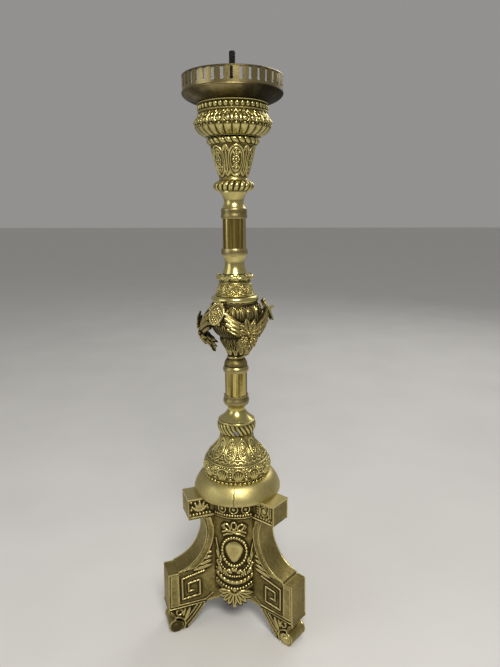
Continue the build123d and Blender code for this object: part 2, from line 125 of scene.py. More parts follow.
class Nodes:
    """Short calls for building one material's node tree."""

    def __init__(self, name):
        self.material = bpy.data.materials.new(name)
        self.material.use_nodes = True
        self.tree = self.material.node_tree
        self.shader = self.tree.nodes["Principled BSDF"]

    def add(self, kind, **settings):
        node = self.tree.nodes.new(kind)
        for key, value in settings.items():
            setattr(node, key, value)
        return node

    def link(self, source, target):
        self.tree.links.new(source, target)

    def noise(self, scale, detail=6.0, roughness=0.55, stretch=(1, 1, 1)):
        place = self.add("ShaderNodeTexCoord")
        mapping = self.add("ShaderNodeMapping")
        mapping.inputs["Scale"].default_value = stretch
        texture = self.add("ShaderNodeTexNoise")
        texture.inputs["Scale"].default_value = scale
        texture.inputs["Detail"].default_value = detail
        texture.inputs["Roughness"].default_value = roughness
        self.link(place.outputs["Object"], mapping.inputs["Vector"])
        self.link(mapping.outputs["Vector"], texture.inputs["Vector"])
        return texture.outputs["Fac"]

    def ramp(self, value, stops):
        ramp = self.add("ShaderNodeValToRGB")
        elements = ramp.color_ramp.elements
        while len(elements) < len(stops):
            elements.new(0.5)
        for element, (position, colour) in zip(elements, stops):
            element.position = position
            element.color = (*colour, 1) if len(colour) == 3 else colour
        self.link(value, ramp.inputs["Fac"])
        return ramp.outputs["Color"]

    def band(self, value, low, high, out_low=0.0, out_high=1.0):
        part = self.add("ShaderNodeMapRange", interpolation_type="SMOOTHSTEP")
        names = ("From Min", "From Max", "To Min", "To Max")
        for name, number in zip(names, (low, high, out_low, out_high)):
            part.inputs[name].default_value = number
        self.link(value, part.inputs["Value"])
        return part.outputs["Result"]

    def spread(self, value, share):
        """A value taken from about 0.5 to about 0, and scaled."""
        return self.sum(self.sum(value, -0.5), share, "MULTIPLY")

    def sum(self, first, second, operation="ADD"):
        node = self.add("ShaderNodeMath", operation=operation)
        for socket, value in zip(node.inputs, (first, second)):
            if isinstance(value, (int, float)):
                socket.default_value = value
            else:
                self.link(value, socket)
        return node.outputs["Value"]

    def mix(self, factor, first, second):
        node = self.add("ShaderNodeMix", data_type="RGBA")
        self.link(factor, node.inputs["Factor"])
        for socket, value in ((node.inputs["A"], first), (node.inputs["B"], second)):
            if isinstance(value, tuple):
                socket.default_value = (*value, 1)
            else:
                self.link(value, socket)
        return node.outputs["Result"]

    def bump(self, height, distance, strength=1.0):
        node = self.add("ShaderNodeBump")
        node.inputs["Strength"].default_value = strength
        node.inputs["Distance"].default_value = distance
        self.link(height, node.inputs["Height"])
        self.link(node.outputs["Normal"], self.shader.inputs["Normal"])


def floor_material():
    """Plain pale matt floor with a faint mottle."""
    m = Nodes("floor")
    mottle = m.noise(6.0, 3.0)
    colour = m.ramp(mottle, [(0.3, (0.70, 0.69, 0.67)), (0.7, (0.74, 0.73, 0.71))])
    m.link(colour, m.shader.inputs["Base Color"])
    m.link(m.band(mottle, 0.3, 0.7, 0.55, 0.68), m.shader.inputs["Roughness"])
    return m.material


SOLDER = (0.30, 0.29, 0.30)
MOTTLE_REACH = (-0.16, 0.10, 0.36)  # where a finish turns dark, middling and bright, from its grime


def brass(name, bright, middle, dark, grime, roughness, worn, grain_and_reflection_stretch=(1, 1, 1), blotched=0.42):
    """Aged brass: worn bright on the raised edges, brown in the recesses, with blotches of tarnish,
    and on the urn painted shade, on the tubes painted reflection streaks.

    worn says where the worn look comes from: the mesh's own attribute (which on the urn's foot and
    bowl also carries painted shade), its sharp edges, or nowhere in particular; grime is how far the
    dark reaches; grain_and_reflection_stretch stretches the blotches and fine scratches, and on the
    tubes draws the colour out into upright streaks of painted reflection; blotched is how much the
    blotches show.
    """
    m = Nodes(name)
    # On the tubes the noise below is stretched upright. In the colour it draws streaks of painted reflection,
    # and in the scratches a drawn grain.
    streaked = grain_and_reflection_stretch[2] < 1
    blotch = m.noise(170.0 if streaked else 28.0, 5.0, 0.6, grain_and_reflection_stretch)
    fine = m.noise(260.0, 4.0, 0.6)
    scratch = m.noise(700.0, 3.0, 0.7, grain_and_reflection_stretch)
    if worn == "relief":
        source = m.add("ShaderNodeAttribute", attribute_name="wear_and_shade").outputs["Fac"]
    elif worn == "edges":
        source = m.band(m.add("ShaderNodeNewGeometry").outputs["Pointiness"], 0.42, 0.56)
    else:
        source = m.band(m.noise(150.0 if streaked else 11.0, 3.0, 0.55, grain_and_reflection_stretch), 0.30, 0.70)
    mottled = m.sum(m.sum(source, m.spread(blotch, blotched)), m.spread(fine, 0.30))
    low, half, high = (grime + reach for reach in MOTTLE_REACH)
    colour = m.ramp(mottled, [(low, dark), (half, middle), (high, bright), (1.0, bright)])
    if worn == "relief":
        solder = m.add("ShaderNodeAttribute", attribute_name="solder").outputs["Fac"]
        colour = m.mix(solder, colour, SOLDER)
    m.link(colour, m.shader.inputs["Base Color"])
    m.shader.inputs["Metallic"].default_value = 1.0
    rough = m.band(mottled, low, high, min(1.0, roughness + 0.30), roughness)
    m.link(m.sum(rough, m.spread(scratch, 0.22)), m.shader.inputs["Roughness"])
    m.bump(m.sum(m.sum(scratch, 0.25, "MULTIPLY"), m.sum(fine, 0.6, "MULTIPLY")), 0.00012, 0.35)
    return m.material


BRIGHT = (0.63, 0.545, 0.215)
MIDDLE = (0.30, 0.246, 0.074)
DARK = (0.075, 0.057, 0.019)


PALE = (0.60, 0.51, 0.215)
UMBER = (0.09, 0.068, 0.026)
SMOKED = (0.30, 0.242, 0.108)
FINISHES = {
    # bright, middle and dark colour, grime, roughness, what is worn, and where it differs the stretch of
    # grain and painted reflection streaks, and blotches
    "relief": (BRIGHT, MIDDLE, DARK, 0.38, 0.25, "relief"),
    "panel": ((0.62, 0.52, 0.21), (0.24, 0.188, 0.060), (0.048, 0.036, 0.014), 0.41, 0.26, "relief"),
    "plate": ((0.58, 0.485, 0.20), (0.215, 0.170, 0.056), (0.055, 0.041, 0.017), 0.37, 0.27, "relief"),
    "cast": ((0.60, 0.50, 0.20), (0.25, 0.198, 0.068), (0.040, 0.031, 0.013), 0.42, 0.27, "relief"),
    "chased": (BRIGHT, (0.40, 0.325, 0.104), (0.125, 0.095, 0.034), 0.30, 0.27, "relief"),
    "satin": (PALE, (0.40, 0.328, 0.110), (0.06, 0.045, 0.022), 0.22, 0.42, "relief"),
    "smooth": (BRIGHT, (0.42, 0.342, 0.102), (0.15, 0.112, 0.040), 0.30, 0.21, "edges"),
    "sheet": (PALE, (0.32, 0.258, 0.088), UMBER, 0.40, 0.32, "relief"),
    "top": (PALE, (0.37, 0.30, 0.10), UMBER, 0.36, 0.34, "edges"),
    # the tubes' upright colour streaks are painted reflection of the room; their stretched scratches are
    # grain
    "tube": (
        *((0.62, 0.50, 0.18), (0.36, 0.285, 0.080), (0.15, 0.112, 0.030)),
        *(0.44, 0.15, "all over", (1, 1, 0.03), 0.55),
    ),
    "ring": ((0.46, 0.385, 0.17), (0.23, 0.185, 0.072), (0.045, 0.034, 0.018), 0.44, 0.30, "edges"),
    "pan": (SMOKED, (0.092, 0.072, 0.031), (0.024, 0.019, 0.011), 0.57, 0.28, "edges"),
    "dish": (SMOKED, (0.105, 0.083, 0.036), (0.030, 0.024, 0.013), 0.50, 0.34, "all over"),
}


RUSTED = [(0.35, (0.012, 0.011, 0.010)), (0.62, (0.035, 0.031, 0.028)), (0.80, (0.10, 0.055, 0.030))]


def iron_material():
    """Blackened iron with a little rust in the roots."""
    m = Nodes("iron_black")
    spots = m.noise(420.0, 6.0, 0.65)
    m.link(m.ramp(spots, RUSTED), m.shader.inputs["Base Color"])
    m.shader.inputs["Metallic"].default_value = 0.75
    m.link(m.band(spots, 0.3, 0.75, 0.42, 0.75), m.shader.inputs["Roughness"])
    m.bump(spots, 0.0002, 0.5)
    return m.material


# ---------------------------------------------------------------- meshes


def mesh_object(name, points, quads, triangles=(), wear_and_shade=None, smooth_angle=38.0, solder=None):
    """A mesh from arrays of points in millimetres and of corner numbers."""
    points = np.asarray(points, float) * MM
    quads = np.asarray(quads, int).reshape(-1, 4)
    triangles = np.asarray(triangles, int).reshape(-1, 3)
    corners = np.concatenate([quads.ravel(), triangles.ravel()])
    starts = np.concatenate([np.arange(len(quads)) * 4, len(quads) * 4 + np.arange(len(triangles)) * 3])
    mesh = bpy.data.meshes.new(name)
    mesh.vertices.add(len(points))
    mesh.vertices.foreach_set("co", points.ravel())
    mesh.loops.add(len(corners))
    mesh.loops.foreach_set("vertex_index", corners)
    mesh.polygons.add(len(starts))
    mesh.polygons.foreach_set("loop_start", starts)
    mesh.update(calc_edges=True)
    mesh.validate()
    mesh.polygons.foreach_set("use_smooth", np.ones(len(mesh.polygons), bool))
    mesh.set_sharp_from_angle(angle=math.radians(smooth_angle))
    for label, values in (("wear_and_shade", wear_and_shade), ("solder", solder)):
        if values is not None:
            layer = mesh.attributes.new(label, "FLOAT", "POINT")
            layer.data.foreach_set("value", np.asarray(values, np.float32))
    piece = bpy.data.objects.new(name, mesh)
    bpy.context.scene.collection.objects.link(piece)
    return piece


def finish_piece(piece, kind, node):
    """Gives a piece its material and slot, hangs it on the stand's body and hides the CAD node that it stands
    for.
    """
    piece.data.materials.append(MATERIALS[kind])
    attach(piece, STAND)
    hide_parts(node)


def tube_faces(rows, count, closed=False):
    """Quads between rows of count points each, and caps to two middle points that come after the rows."""
    k = np.arange(count)
    after = (k + 1) % count
    quads = []
    for row in range(rows if closed else rows - 1):
        low, high = row * count, (row + 1) % rows * count
        quads.append(np.stack([low + k, low + after, high + after, high + k], -1))
    middle, last = rows * count, (rows - 1) * count
    first_cap = np.stack([np.full(count, middle), after, k], -1)
    last_cap = np.stack([np.full(count, middle + 1), last + k, last + after], -1)
    return np.concatenate(quads), np.concatenate([first_cap, last_cap])


def wrapped(points, angle, middle):
    """Flat points (along the round, up, out) bent round the axis, with the middle at an angle in degrees."""
    turn = math.radians(angle) + points[:, 0] / middle
    radius = middle + points[:, 2]
    return np.stack([radius * np.cos(turn), radius * np.sin(turn), points[:, 1]], -1)


def turned(away, left, up, angle):
    """Points given by how far they are from the axis, to the left and up, turned to an angle in degrees."""
    c, s = math.cos(math.radians(angle)), math.sin(math.radians(angle))
    return np.stack([away * c - left * s, away * s + left * c, up], -1)


def blurred(field, reach, wrap):
    """A field smoothed over reach cells each way; wrap closes the second direction."""
    out = field
    for axis in (0, 1):
        for _ in range(3):
            total = np.zeros_like(out)
            for step in range(-reach, reach + 1):
                if axis == 1 and wrap:
                    total += np.roll(out, step, axis)
                else:
                    index = np.clip(np.arange(out.shape[axis]) + step, 0, out.shape[axis] - 1)
                    total += np.take(out, index, axis)
            out = total / (2 * reach + 1)
    return out


def wear_of(height, spacing, wrap):
    """How worn a relief is: near 1 on what stands out, near 0 in the recesses."""
    reach = max(1, int(round(0.9 / spacing)))
    wide = max(2, int(round(2.2 / spacing)))
    near, far = blurred(height, reach, wrap), blurred(height, wide, wrap)
    return np.clip(0.5 + (height - near) * 1.5 + (height - far) * 0.9, 0, 1)


def outline_of(node, spacing):
    """The outer outline of a turned CAD node, evenly spaced: radius, height and normal, in millimetres."""
    mesh = nodes[node].data
    points = np.empty(len(mesh.vertices) * 3)
    mesh.vertices.foreach_get("co", points)
    points = points.reshape(-1, 3) / MM
    ends = np.empty(len(mesh.edges) * 2, int)
    mesh.edges.foreach_get("vertices", ends)
    ends = ends.reshape(-1, 2)
    radius = np.hypot(points[:, 0], points[:, 1])[ends]
    height = points[:, 2][ends]
    order = np.argsort(height, 1)
    radius = np.take_along_axis(radius, order, 1)
    height = np.take_along_axis(height, order, 1)
    upright = height[:, 1] - height[:, 0] > 1e-4
    radius, height = radius[upright], height[upright]
    levels = np.linspace(height.min() + 1e-3, height.max() - 1e-3, 500)
    outer = np.zeros(len(levels))
    for k, level in enumerate(levels):
        share = (level - height[:, 0]) / (height[:, 1] - height[:, 0])
        across = (share >= 0) & (share <= 1)
        outer[k] = (radius[across, 0] + (radius[across, 1] - radius[across, 0]) * share[across]).max()
    along = np.concatenate([[0], np.cumsum(np.hypot(np.diff(outer), np.diff(levels)))])
    count = max(6, int(math.ceil(along[-1] / spacing)) + 1)
    s = np.linspace(0, along[-1], count)
    r = np.interp(s, along, outer)
    z = np.interp(s, along, levels)
    dr, dz = np.gradient(r), np.gradient(z)
    length = np.hypot(dr, dz)
    return r, z, s, dz / length, -dr / length


PLAIN_WEAR = 0.4  # how worn a surface without relief is
EDGE_EASE = 0.6  # how far in from its two ends a relief reaches its full height
BORE = 4.5  # radius of the hole through a turned piece
PAINTED_SHADE_BAND = (325.0, 363.0)  # between these heights, under the bowl's bulge and behind the garlands, the urn's foot and bowl are darkened with painted shade


def turned_relief(node, relief, strength, sunk, spacing, kind):
    """A turned piece with relief round it, which stands for a CAD node.

    relief(angle, s, z, r) gives the height in millimetres; sunk is how far the ground lies under the
    CAD outline, so that the relief's tops come back to it.
    """
    r, z, s, nr, nz = outline_of(node, spacing)
    around = int(TAU * r.max() / spacing)
    angle = np.arange(around) * TAU / around
    a, ss = np.meshgrid(angle, s)
    rr = np.repeat(r[:, None], around, 1)
    zz = np.repeat(z[:, None], around, 1)
    ease = np.clip(np.minimum(ss, s[-1] - ss) / EDGE_EASE, 0, 1)
    height = relief(a, ss, zz, rr) * strength * ease - sunk * (0.45 + 0.55 * ease)
    out = rr + height * nr[:, None]
    up = np.clip(zz + height * nz[:, None], z[0], z[-1])
    rows = [np.stack([out * np.cos(a), out * np.sin(a), up], -1)]
    for level in (z[-1], z[0]):
        hole = np.stack([BORE * np.cos(angle), BORE * np.sin(angle), np.full(around, level)], -1)
        rows.append(hole[None])
    quads, _ = tube_faces(len(s) + 2, around, closed=True)
    wear_and_shade = wear_of(height, spacing, True)
    # painted shade: the urn's foot and bowl are darkened between these heights, where they stand in shadow
    # under the bowl's bulge and behind the garlands
    if node in ("urn_bowl", "urn_foot"):
        low, high = PAINTED_SHADE_BAND
        wear_and_shade = wear_and_shade - 0.30 * np.clip((high - zz) / 3.0, 0, 1) * np.clip((zz - low) / 3.0, 0, 1)
    wear_and_shade = np.append(wear_and_shade.ravel(), np.full(2 * around, PLAIN_WEAR))
    solder = None
    if node == "lower_gadroon_collar":
        solder = np.append(solder_patch(a, zz).ravel(), np.zeros(2 * around))
    points = np.concatenate(rows).reshape(-1, 3)
    piece = mesh_object(f"{node}_relief", points, quads, wear_and_shade=wear_and_shade, solder=solder)
    finish_piece(piece, kind, node)


def solder_patch(a, z):
    """Where old grey solder has been left on the front of the lower collar."""
    across = (a - math.radians(281)) * 21
    edge = 1 + 0.22 * np.sin(across * 1.9 + z) + 0.15 * np.sin(z * 2.7 - across)
    return np.clip((edge - np.hypot(across / 5.0, (z - 234.6) / 4.2)) * 2.4, 0, 0.85)


# ---------------------------------------------------------------- relief in the flat, in millimetres


def dome(distance, reach, height):
    """A rounded bead or ridge, highest where distance is 0."""
    return height * np.clip(1 - (distance / reach) ** 2, 0, 1) ** 0.6


def soft(distance, reach, height):
    """A soft swelling."""
    return height * np.exp(-((distance / reach) ** 2))


def fold(angle, count, turn=0.0):
    """The angle from the nearest of count even places, and which place it is."""
    pitch = TAU / count
    shifted = angle - math.radians(turn)
    place = np.round(shifted / pitch)
    return shifted - place * pitch, place


def segment(u, v, start, end):
    """Distance to a straight line between two points, and how far along it."""
    (x0, y0), (x1, y1) = start, end
    dx, dy = x1 - x0, y1 - y0
    t = np.clip(((u - x0) * dx + (v - y0) * dy) / (dx * dx + dy * dy), 0, 1)
    return np.hypot(u - x0 - t * dx, v - y0 - t * dy), t


def polyline(u, v, points):
    """Distance to a broken line."""
    best = np.full(np.shape(u), 1e9)
    for start, end in zip(points, points[1:]):
        best = np.minimum(best, segment(u, v, start, end)[0])
    return best


def oval(u, v, half_u, half_v):
    """Distance from the rim of an upright oval, negative inside."""
    size = np.hypot(u / half_u, v / half_v)
    slope = np.hypot(u / half_u**2, v / half_v**2) / np.maximum(size, 1e-6)
    return (size - 1) / np.maximum(slope, 1e-6)


def leaf(u, v, start, end, width, height, vein=0.35):
    """A pointed leaf from start to end, widest near its middle, with a sunk vein."""
    (x0, y0), (x1, y1) = start, end
    length = math.hypot(x1 - x0, y1 - y0)
    ex, ey = (x1 - x0) / length, (y1 - y0) / length
    along = ((u - x0) * ex + (v - y0) * ey) / length
    across = np.abs(-(u - x0) * ey + (v - y0) * ex)
    half = width / 2 * np.clip(np.sin(np.clip(along, 0, 1) * math.pi) ** 0.7, 1e-3, 1)
    body = height * np.clip(1 - (across / half) ** 2, 0, 1) ** 0.5
    body = body * ((along > 0) & (along < 1))
    return body - vein * height * np.exp(-((across / (0.12 * width)) ** 2)) * (body > 0)


def beads(u, v, places, reach, height):
    """A bead at each place."""
    out = np.zeros(np.shape(u))
    for x, y in places:
        out = np.maximum(out, dome(np.hypot(u - x, v - y), reach, height))
    return out


def bead(u, v, x, y, reach, height):
    """One bead."""
    return dome(np.hypot(u - x, v - y), reach, height)


def circle(u, v, centre, radius, reach, height):
    """A rounded ridge along a circle."""
    return dome(np.hypot(u - centre[0], v - centre[1]) - radius, reach, height)


def wreath(x, y, half_u, half_v, count, turn=0.0):
    """Even places round an oval, the first at its top."""
    turns = [turn + TAU * k / count for k in range(count)]
    return [(x + half_u * math.sin(a), y + half_v * math.cos(a)) for a in turns]


def most(*fields):
    """The highest of several fields."""
    return functools.reduce(np.maximum, fields)


def leaves(u, v, rows):
    """Several leaves, each given by its start, end, width and height."""
    return most(*(leaf(u, v, *row) for row in rows))


def leaf_pair(u, v, *shape):
    """A leaf and its mirror image."""
    return most(leaf(u, v, *shape), leaf(-u, v, *shape))


# ---------------------------------------------------------------- the column's ornament


def bead_ring_relief(a, s, z, r):
    """A course of round beads on a low ring."""
    folded, _ = fold(a, 44)
    v = z - (z.min() + z.max()) / 2
    return most(bead(folded * r, v, 0, 0, 2.5, 2.2), soft(v, 1.2, 0.5))


def torus_relief(a, s, z, r):
    """Acanthus: fans of leaves under hooped stems, between rows of small dots."""
    folded, _ = fold(a, 13, 6.0)
    dots, _ = fold(a, 78)
    u = folded * 37.0
    side = np.abs(u)
    half = s.max() / 2
    v = s - half
    top = half - 2.2
    spread = (-3.4, -1.7, 0.0, 1.7, 3.4)
    return most(
        leaves(u, v, [((x * 0.5, 3.0 - half), (x * 1.7, 3.8 - abs(x) * 0.8), 2.0, 1.4) for x in spread]),
        dome(np.hypot(u, (v + 1.5) / 1.05) - 6.4, 0.8, 1.15) * (v > -3.5),
        bead(side, v, 8.6, -6.0, 1.5, 1.2),
        bead(side, v, 8.6, -2.6, 1.2, 1.2),
        bead(side, v, 8.6, 0.6, 1.0, 1.2),
        circle(side, v, (7.0, 4.6), 1.8, 0.7, 1.1),
        bead(side, v, 7.0, 4.6, 0.9, 1.2),
        dome(v - top, 0.8, 0.7),
        dome(v + half - 1.8, 0.8, 0.8),
        bead(dots * 36.0, v, 0, top - 1.9, 0.75, 0.8),
    )


def bell_relief(a, s, z, r):
    """Ten upright oval panels with beaded flowers, and a scalloped lower edge."""
    folded, _ = fold(a, 10, 12.0)
    between, _ = fold(a, 10, 30.0)
    hem, _ = fold(a, 30)
    u = folded * r
    half = s.max() / 2
    v = s - half
    width = 0.40 * TAU * r / 10
    rim = oval(u / width, v / (half - 3.4), 1.0, 1.0) * width
    flower = most(
        bead(u, v, 0, -3.2, 1.5, 1.1),
        beads(u, v, wreath(0, -3.2, 2.6, 2.9, 6), 1.0, 0.9),
        leaf(u, v, (0, 1.0), (0, 8.5), 2.6, 0.9),
        leaf_pair(u, v, (0, 0.8), (2.4, 5.6), 1.7, 0.8),
        leaf(u, v, (0, -6.6), (0, -10.8), 2.8, 0.9),
        leaf_pair(u, v, (0, -6.2), (3.4, -9.2), 2.0, 0.8),
    )
    field = most(
        dome(rim, 0.75, 1.05),
        dome(rim + 1.6, 0.45, 0.55),
        np.where(rim < -2.0, flower, 0),
        *(bead(between * r, v, 0, level, 0.86 - 0.03 * level, 0.8) for level in (-8.0, -5.2, -2.6, 0.0)),
        dome(s - 1.6 - np.cos(hem * 30), 1.3, 1.3),
        soft(s - 5.0, 0.6, 0.5),
    )
    return field + 0.6 * np.clip(1 - s / 4.0, 0, 1)


def lower_gadroon_relief(a, s, z, r):
    """Slanted lobes round the lower half, under a smooth shoulder."""
    level = (z - z.min()) / (z.max() - z.min())
    slanted, _ = fold(a + 0.42 * (level - 0.4), 26)
    lobe = 1.5 * np.abs(np.cos(slanted * 13)) ** 0.7
    fade = np.clip((0.90 - level) / 0.16, 0, 1) * np.clip(level / 0.12, 0, 1)
    rim = soft(level - 0.93, 0.05, 0.5)
    return lobe * fade + 1.5 * (1 - fade) * np.clip(level, 0, 1) + rim


def urn_foot_relief(a, s, z, r):
    """Overlapping acanthus leaves up the urn's stem, above a plain ring foot."""
    level = (z - z.min()) / (z.max() - z.min())
    field = soft(level - 0.34, 0.03, 0.7)
    for turn, base, top in ((0.0, 0.42, 0.86), (20.0, 0.56, 1.02), (4.0, 0.74, 1.12)):
        folded, _ = fold(a, 9, turn)
        u = folded * r
        along = np.clip((level - base) / (top - base), 0, 1)
        half = 0.48 * TAU * r / 9 * np.sin(np.clip(along * 0.9 + 0.1, 0, 1) * math.pi) ** 0.6
        body = 1.2 * np.clip(1 - (u / np.maximum(half, 0.2)) ** 2, 0, 1) ** 0.5 * (along > 0) * (along < 1)
        ribs = 0.25 * np.cos(np.abs(u) * 3.6 + along * 14)
        field = most(field, (body + ribs) * (body > 0) - 0.5 * np.exp(-((u / 0.5) ** 2)) * (body > 0))
    return field


def urn_bowl_relief(a, s, z, r):
    """Double hooped tongues round the shoulder, with a plain face inside, over a leafy belly that
    turned_relief darkens with painted shade.
    """
    folded, _ = fold(a, 16, 5.0)
    between, _ = fold(a, 16, 5.0 + 180 / 16)
    u = folded * 28.6
    v = s - s.max() + 9.6

    def hoop(size):
        return np.where(v > 0, np.hypot(u, v * 0.80), np.abs(u)) - size

    tongue = most(
        dome(hoop(4.6), 0.55, 1.0),
        dome(hoop(3.1), 0.42, 0.75),
        0.45 * (hoop(2.6) < 0),
        soft(np.hypot(u / 1.7, (v + 2.0) / 7.0), 0.8, 0.75),
    )
    return most(
        tongue * (v > -10.4),
        leaf(between * 28.6, v, (0, 7.0), (0, -10.0), 1.3, 0.8, 0.0),
        soft(v + 11.2, 0.6, 0.9),
        leaf(folded * r, v, (0, -32.0), (0, -12.4), 6.786, 0.9, 0.6),
        leaf(between * r, v, (0, -32.0), (0, -15.5), 6.786, 0.9, 0.6),
    )


def cover_relief(a, s, z, r):
    """Interlaced strapwork round the urn's cover, with a small rosette in each eye, between two lines."""
    count = 12
    half = s.max() / 2
    v = s - half
    wave = half - 3.4
    turns = a * count / 2
    slope = np.sqrt(1 + (wave * count / 2 / r * np.cos(turns)) ** 2)
    straps = [(v + way * wave * np.sin(turns)) / slope for way in (-1, 1)]
    eye, _ = fold(a, count, 15.0)
    gap, _ = fold(a, count)
    side = np.abs(v) - half + 4.2
    return most(
        *(dome(strap + edge, 0.42, 0.9) for strap in straps for edge in (-0.75, 0.75)),
        bead(eye * r, v, 0, 0, 0.95, 1.0),
        beads(eye * r, v, wreath(0, 0, 1.8, 1.8, 6, math.pi / 2), 0.7, 0.8),
        bead(gap * r, side, 0, 0, 1.0, 0.9),
        circle(gap * r, side, (0, 0), 1.9, 0.4, 0.6),
        dome(side - 3.0, 0.6, 0.8),
        dome(side - 1.8, 0.35, 0.6),
    )


def leaf_collar_relief(a, s, z, r):
    """Long leaves laid over one another round the collar, their tips turned up and down by turns."""
    field = np.zeros_like(a)
    v = s - s.max() / 2
    for turn, way in ((0.0, 1), (180 / 11, -1)):
        folded, place = fold(a, 11, turn)
        u = folded * 18.6
        lift = 0.108 * np.sin(place * 2.3 + turn)
        field = most(
            field,
            leaf(u, v, (-6.4, -way * 2.4), (6.0, way * 3.4), 5.2, 1.7) + lift,
            leaf(u, v, (-1.0, way * 0.6), (4.4, -way * 3.2), 2.8, 1.4),
            bead(u, v, -5.2, -way * 2.0, 1.2, 1.3),
        )
    return field


def upper_gadroon_relief(a, s, z, r):
    """Plump lobes, each leaning a little."""
    level = (z - z.min()) / (z.max() - z.min())
    slanted, _ = fold(a - 0.16 * (level - 0.5), 21)
    lobe = np.abs(np.cos(slanted * 10.5)) ** 0.75
    fade = np.clip((0.86 - level) / 0.16, 0, 1)
    return 1.9 * lobe * fade + 1.2 * (1 - fade) * level


def cone_relief(a, s, z, r):
    """Six oval medallions with double rims, a flower of beads in each, and leaves between them."""
    folded, _ = fold(a, 6, -70.4)
    gap, _ = fold(a, 6, -40.4)
    u, w = folded * r, gap * r
    half = s.max() / 2
    v = s - half
    wide = 0.39 * TAU * r / 6
    rim = oval(u / wide, v / (half - 1.6), 1.0, 1.0) * wide
    flower = most(
        bead(u, v, 0, 0.8, 1.5, 1.35),
        beads(u, v, wreath(0, 0.8, 3.1, 3.1, 8), 1.0, 1.0),
        circle(u, v, (0, 6.2), 1.9, 0.7, 0.9),
        beads(u, v, [(0, 6.2), (-3.2, 7.6), (3.2, 7.6), (0, 9.4)], 0.95, 1.0),
        circle(u, v, (0, -4.8), 1.8, 0.7, 0.9),
        beads(u, v, [(0, -4.8), (-2.9, -6.0), (2.9, -6.0), (0, -8.4)], 0.9, 1.0),
        leaf(u, v, (0, -6.5), (0, -11.5), 2.6, 0.8),
    )
    return most(
        dome(rim, 0.75, 1.15),
        dome(rim + 1.9, 0.55, 0.8),
        np.where(rim < -2.4, flower, 0),
        leaf_pair(w, v, (0, 1.0 - half), (3.4, 7.5 - half), 2.6, 0.9),
        leaf_pair(w, v, (0, half - 1.0), (4.2, half - 8.0), 2.8, 0.9),
        dome(w, 0.9, 0.8) * np.clip(1 - np.abs(v) / (half - 1.0), 0, 1) ** 0.5,
    )


def rope_relief(a, s, z, r):
    """A row of fat slanted lobes, like a rope."""
    level = s / s.max() - 0.5
    slanted, _ = fold(a + 0.17 * level, 24)
    return dome(np.hypot(slanted * r / 3.5, level / 0.62), 1.0, 2.0)


def bowl_relief(a, s, z, r):
    """Upright lobes, each holding a pearl over a small dot, above fluted leaves."""
    folded, _ = fold(a, 28, 3.0)
    between, _ = fold(a, 28, 3.0 + 180 / 28)
    u, w = folded * 38.0, between * 38.0
    v = z - 557.0
    cup = np.hypot(u, np.where(v > 0, 0.55, 1.0) * v)
    flute = 1.3 * np.abs(np.cos(folded * 14)) ** 0.5 * np.clip((-4.5 - v) / 2.0, 0, 1)
    return most(
        bead(u, v, 0, 0, 2.9, 1.9),
        dome(cup - 3.9, 0.62, 1.0) * (v > -3.2),
        bead(u, v, 0, -5.0, 1.35, 1.2),
        leaf(u, v, (0, 2.6), (0, 8.6), 3.6, 1.2),
        leaf(w, v, (0, -6.0), (0, 7.2), 1.5, 1.0, 0.0),
        bead(w, v, 0, 7.0, 1.2, 0.9),
        flute * np.clip(s / 2.0, 0, 1),
    )


SEAM_ANGLE = math.radians(-84)


def flange_relief(a, s, z, r):
    """Hammered flat satin, with the soldered seam down the front."""
    seam = ((a - SEAM_ANGLE + math.pi) % TAU - math.pi) * r
    wander = seam - 0.35 * np.sin(s * 0.9) - 0.2 * np.sin(s * 2.3)
    ripple = 0.05 * np.sin(a * 5 + 1.0) + 0.04 * np.sin(a * 11 + s * 0.3)
    low = np.clip((0.75 * s.max() - s) / (0.3 * s.max()), 0.25, 1)
    return ripple + low * (0.15 * soft(wander - 1.2, 0.6, 1.0) - 0.45 * soft(wander, 0.45, 1.0))


def bead_collar_relief(a, s, z, r):
    """A course of eggs between two fillets."""
    folded, _ = fold(a, 40)
    v = s - s.max() / 2
    egg = dome(np.hypot(folded * 35.4 / 2.3, v / 2.9), 1.0, 1.7)
    return most(egg, dome(np.abs(v) - 3.9, 0.9, 1.1))


# ---------------------------------------------------------------- the base's plates and panels


def cut_loop(outline, spacing):
    """A closed outline with its long edges cut into even steps."""
    points = []
    for start, end in zip(outline, np.roll(outline, -1, 0)):
        count = max(1, int(round(np.hypot(*(end - start)) / spacing)))
        points += [start + (end - start) * k / count for k in range(count)]
    return np.array(points)


def within(u, v, loop):
    """Which points lie inside a loop, and how far each is from it."""
    inside = np.zeros(len(u), bool)
    nearest = np.full(len(u), 1e9)
    for (x0, y0), (x1, y1) in zip(loop, np.roll(loop, -1, 0)):
        if y0 != y1:
            crosses = (y0 > v) != (y1 > v)
            inside ^= crosses & (u < (x1 - x0) * (v - y0) / (y1 - y0) + x0)
        nearest = np.minimum(nearest, segment(u, v, (x0, y0), (x1, y1))[0])
    return inside, nearest


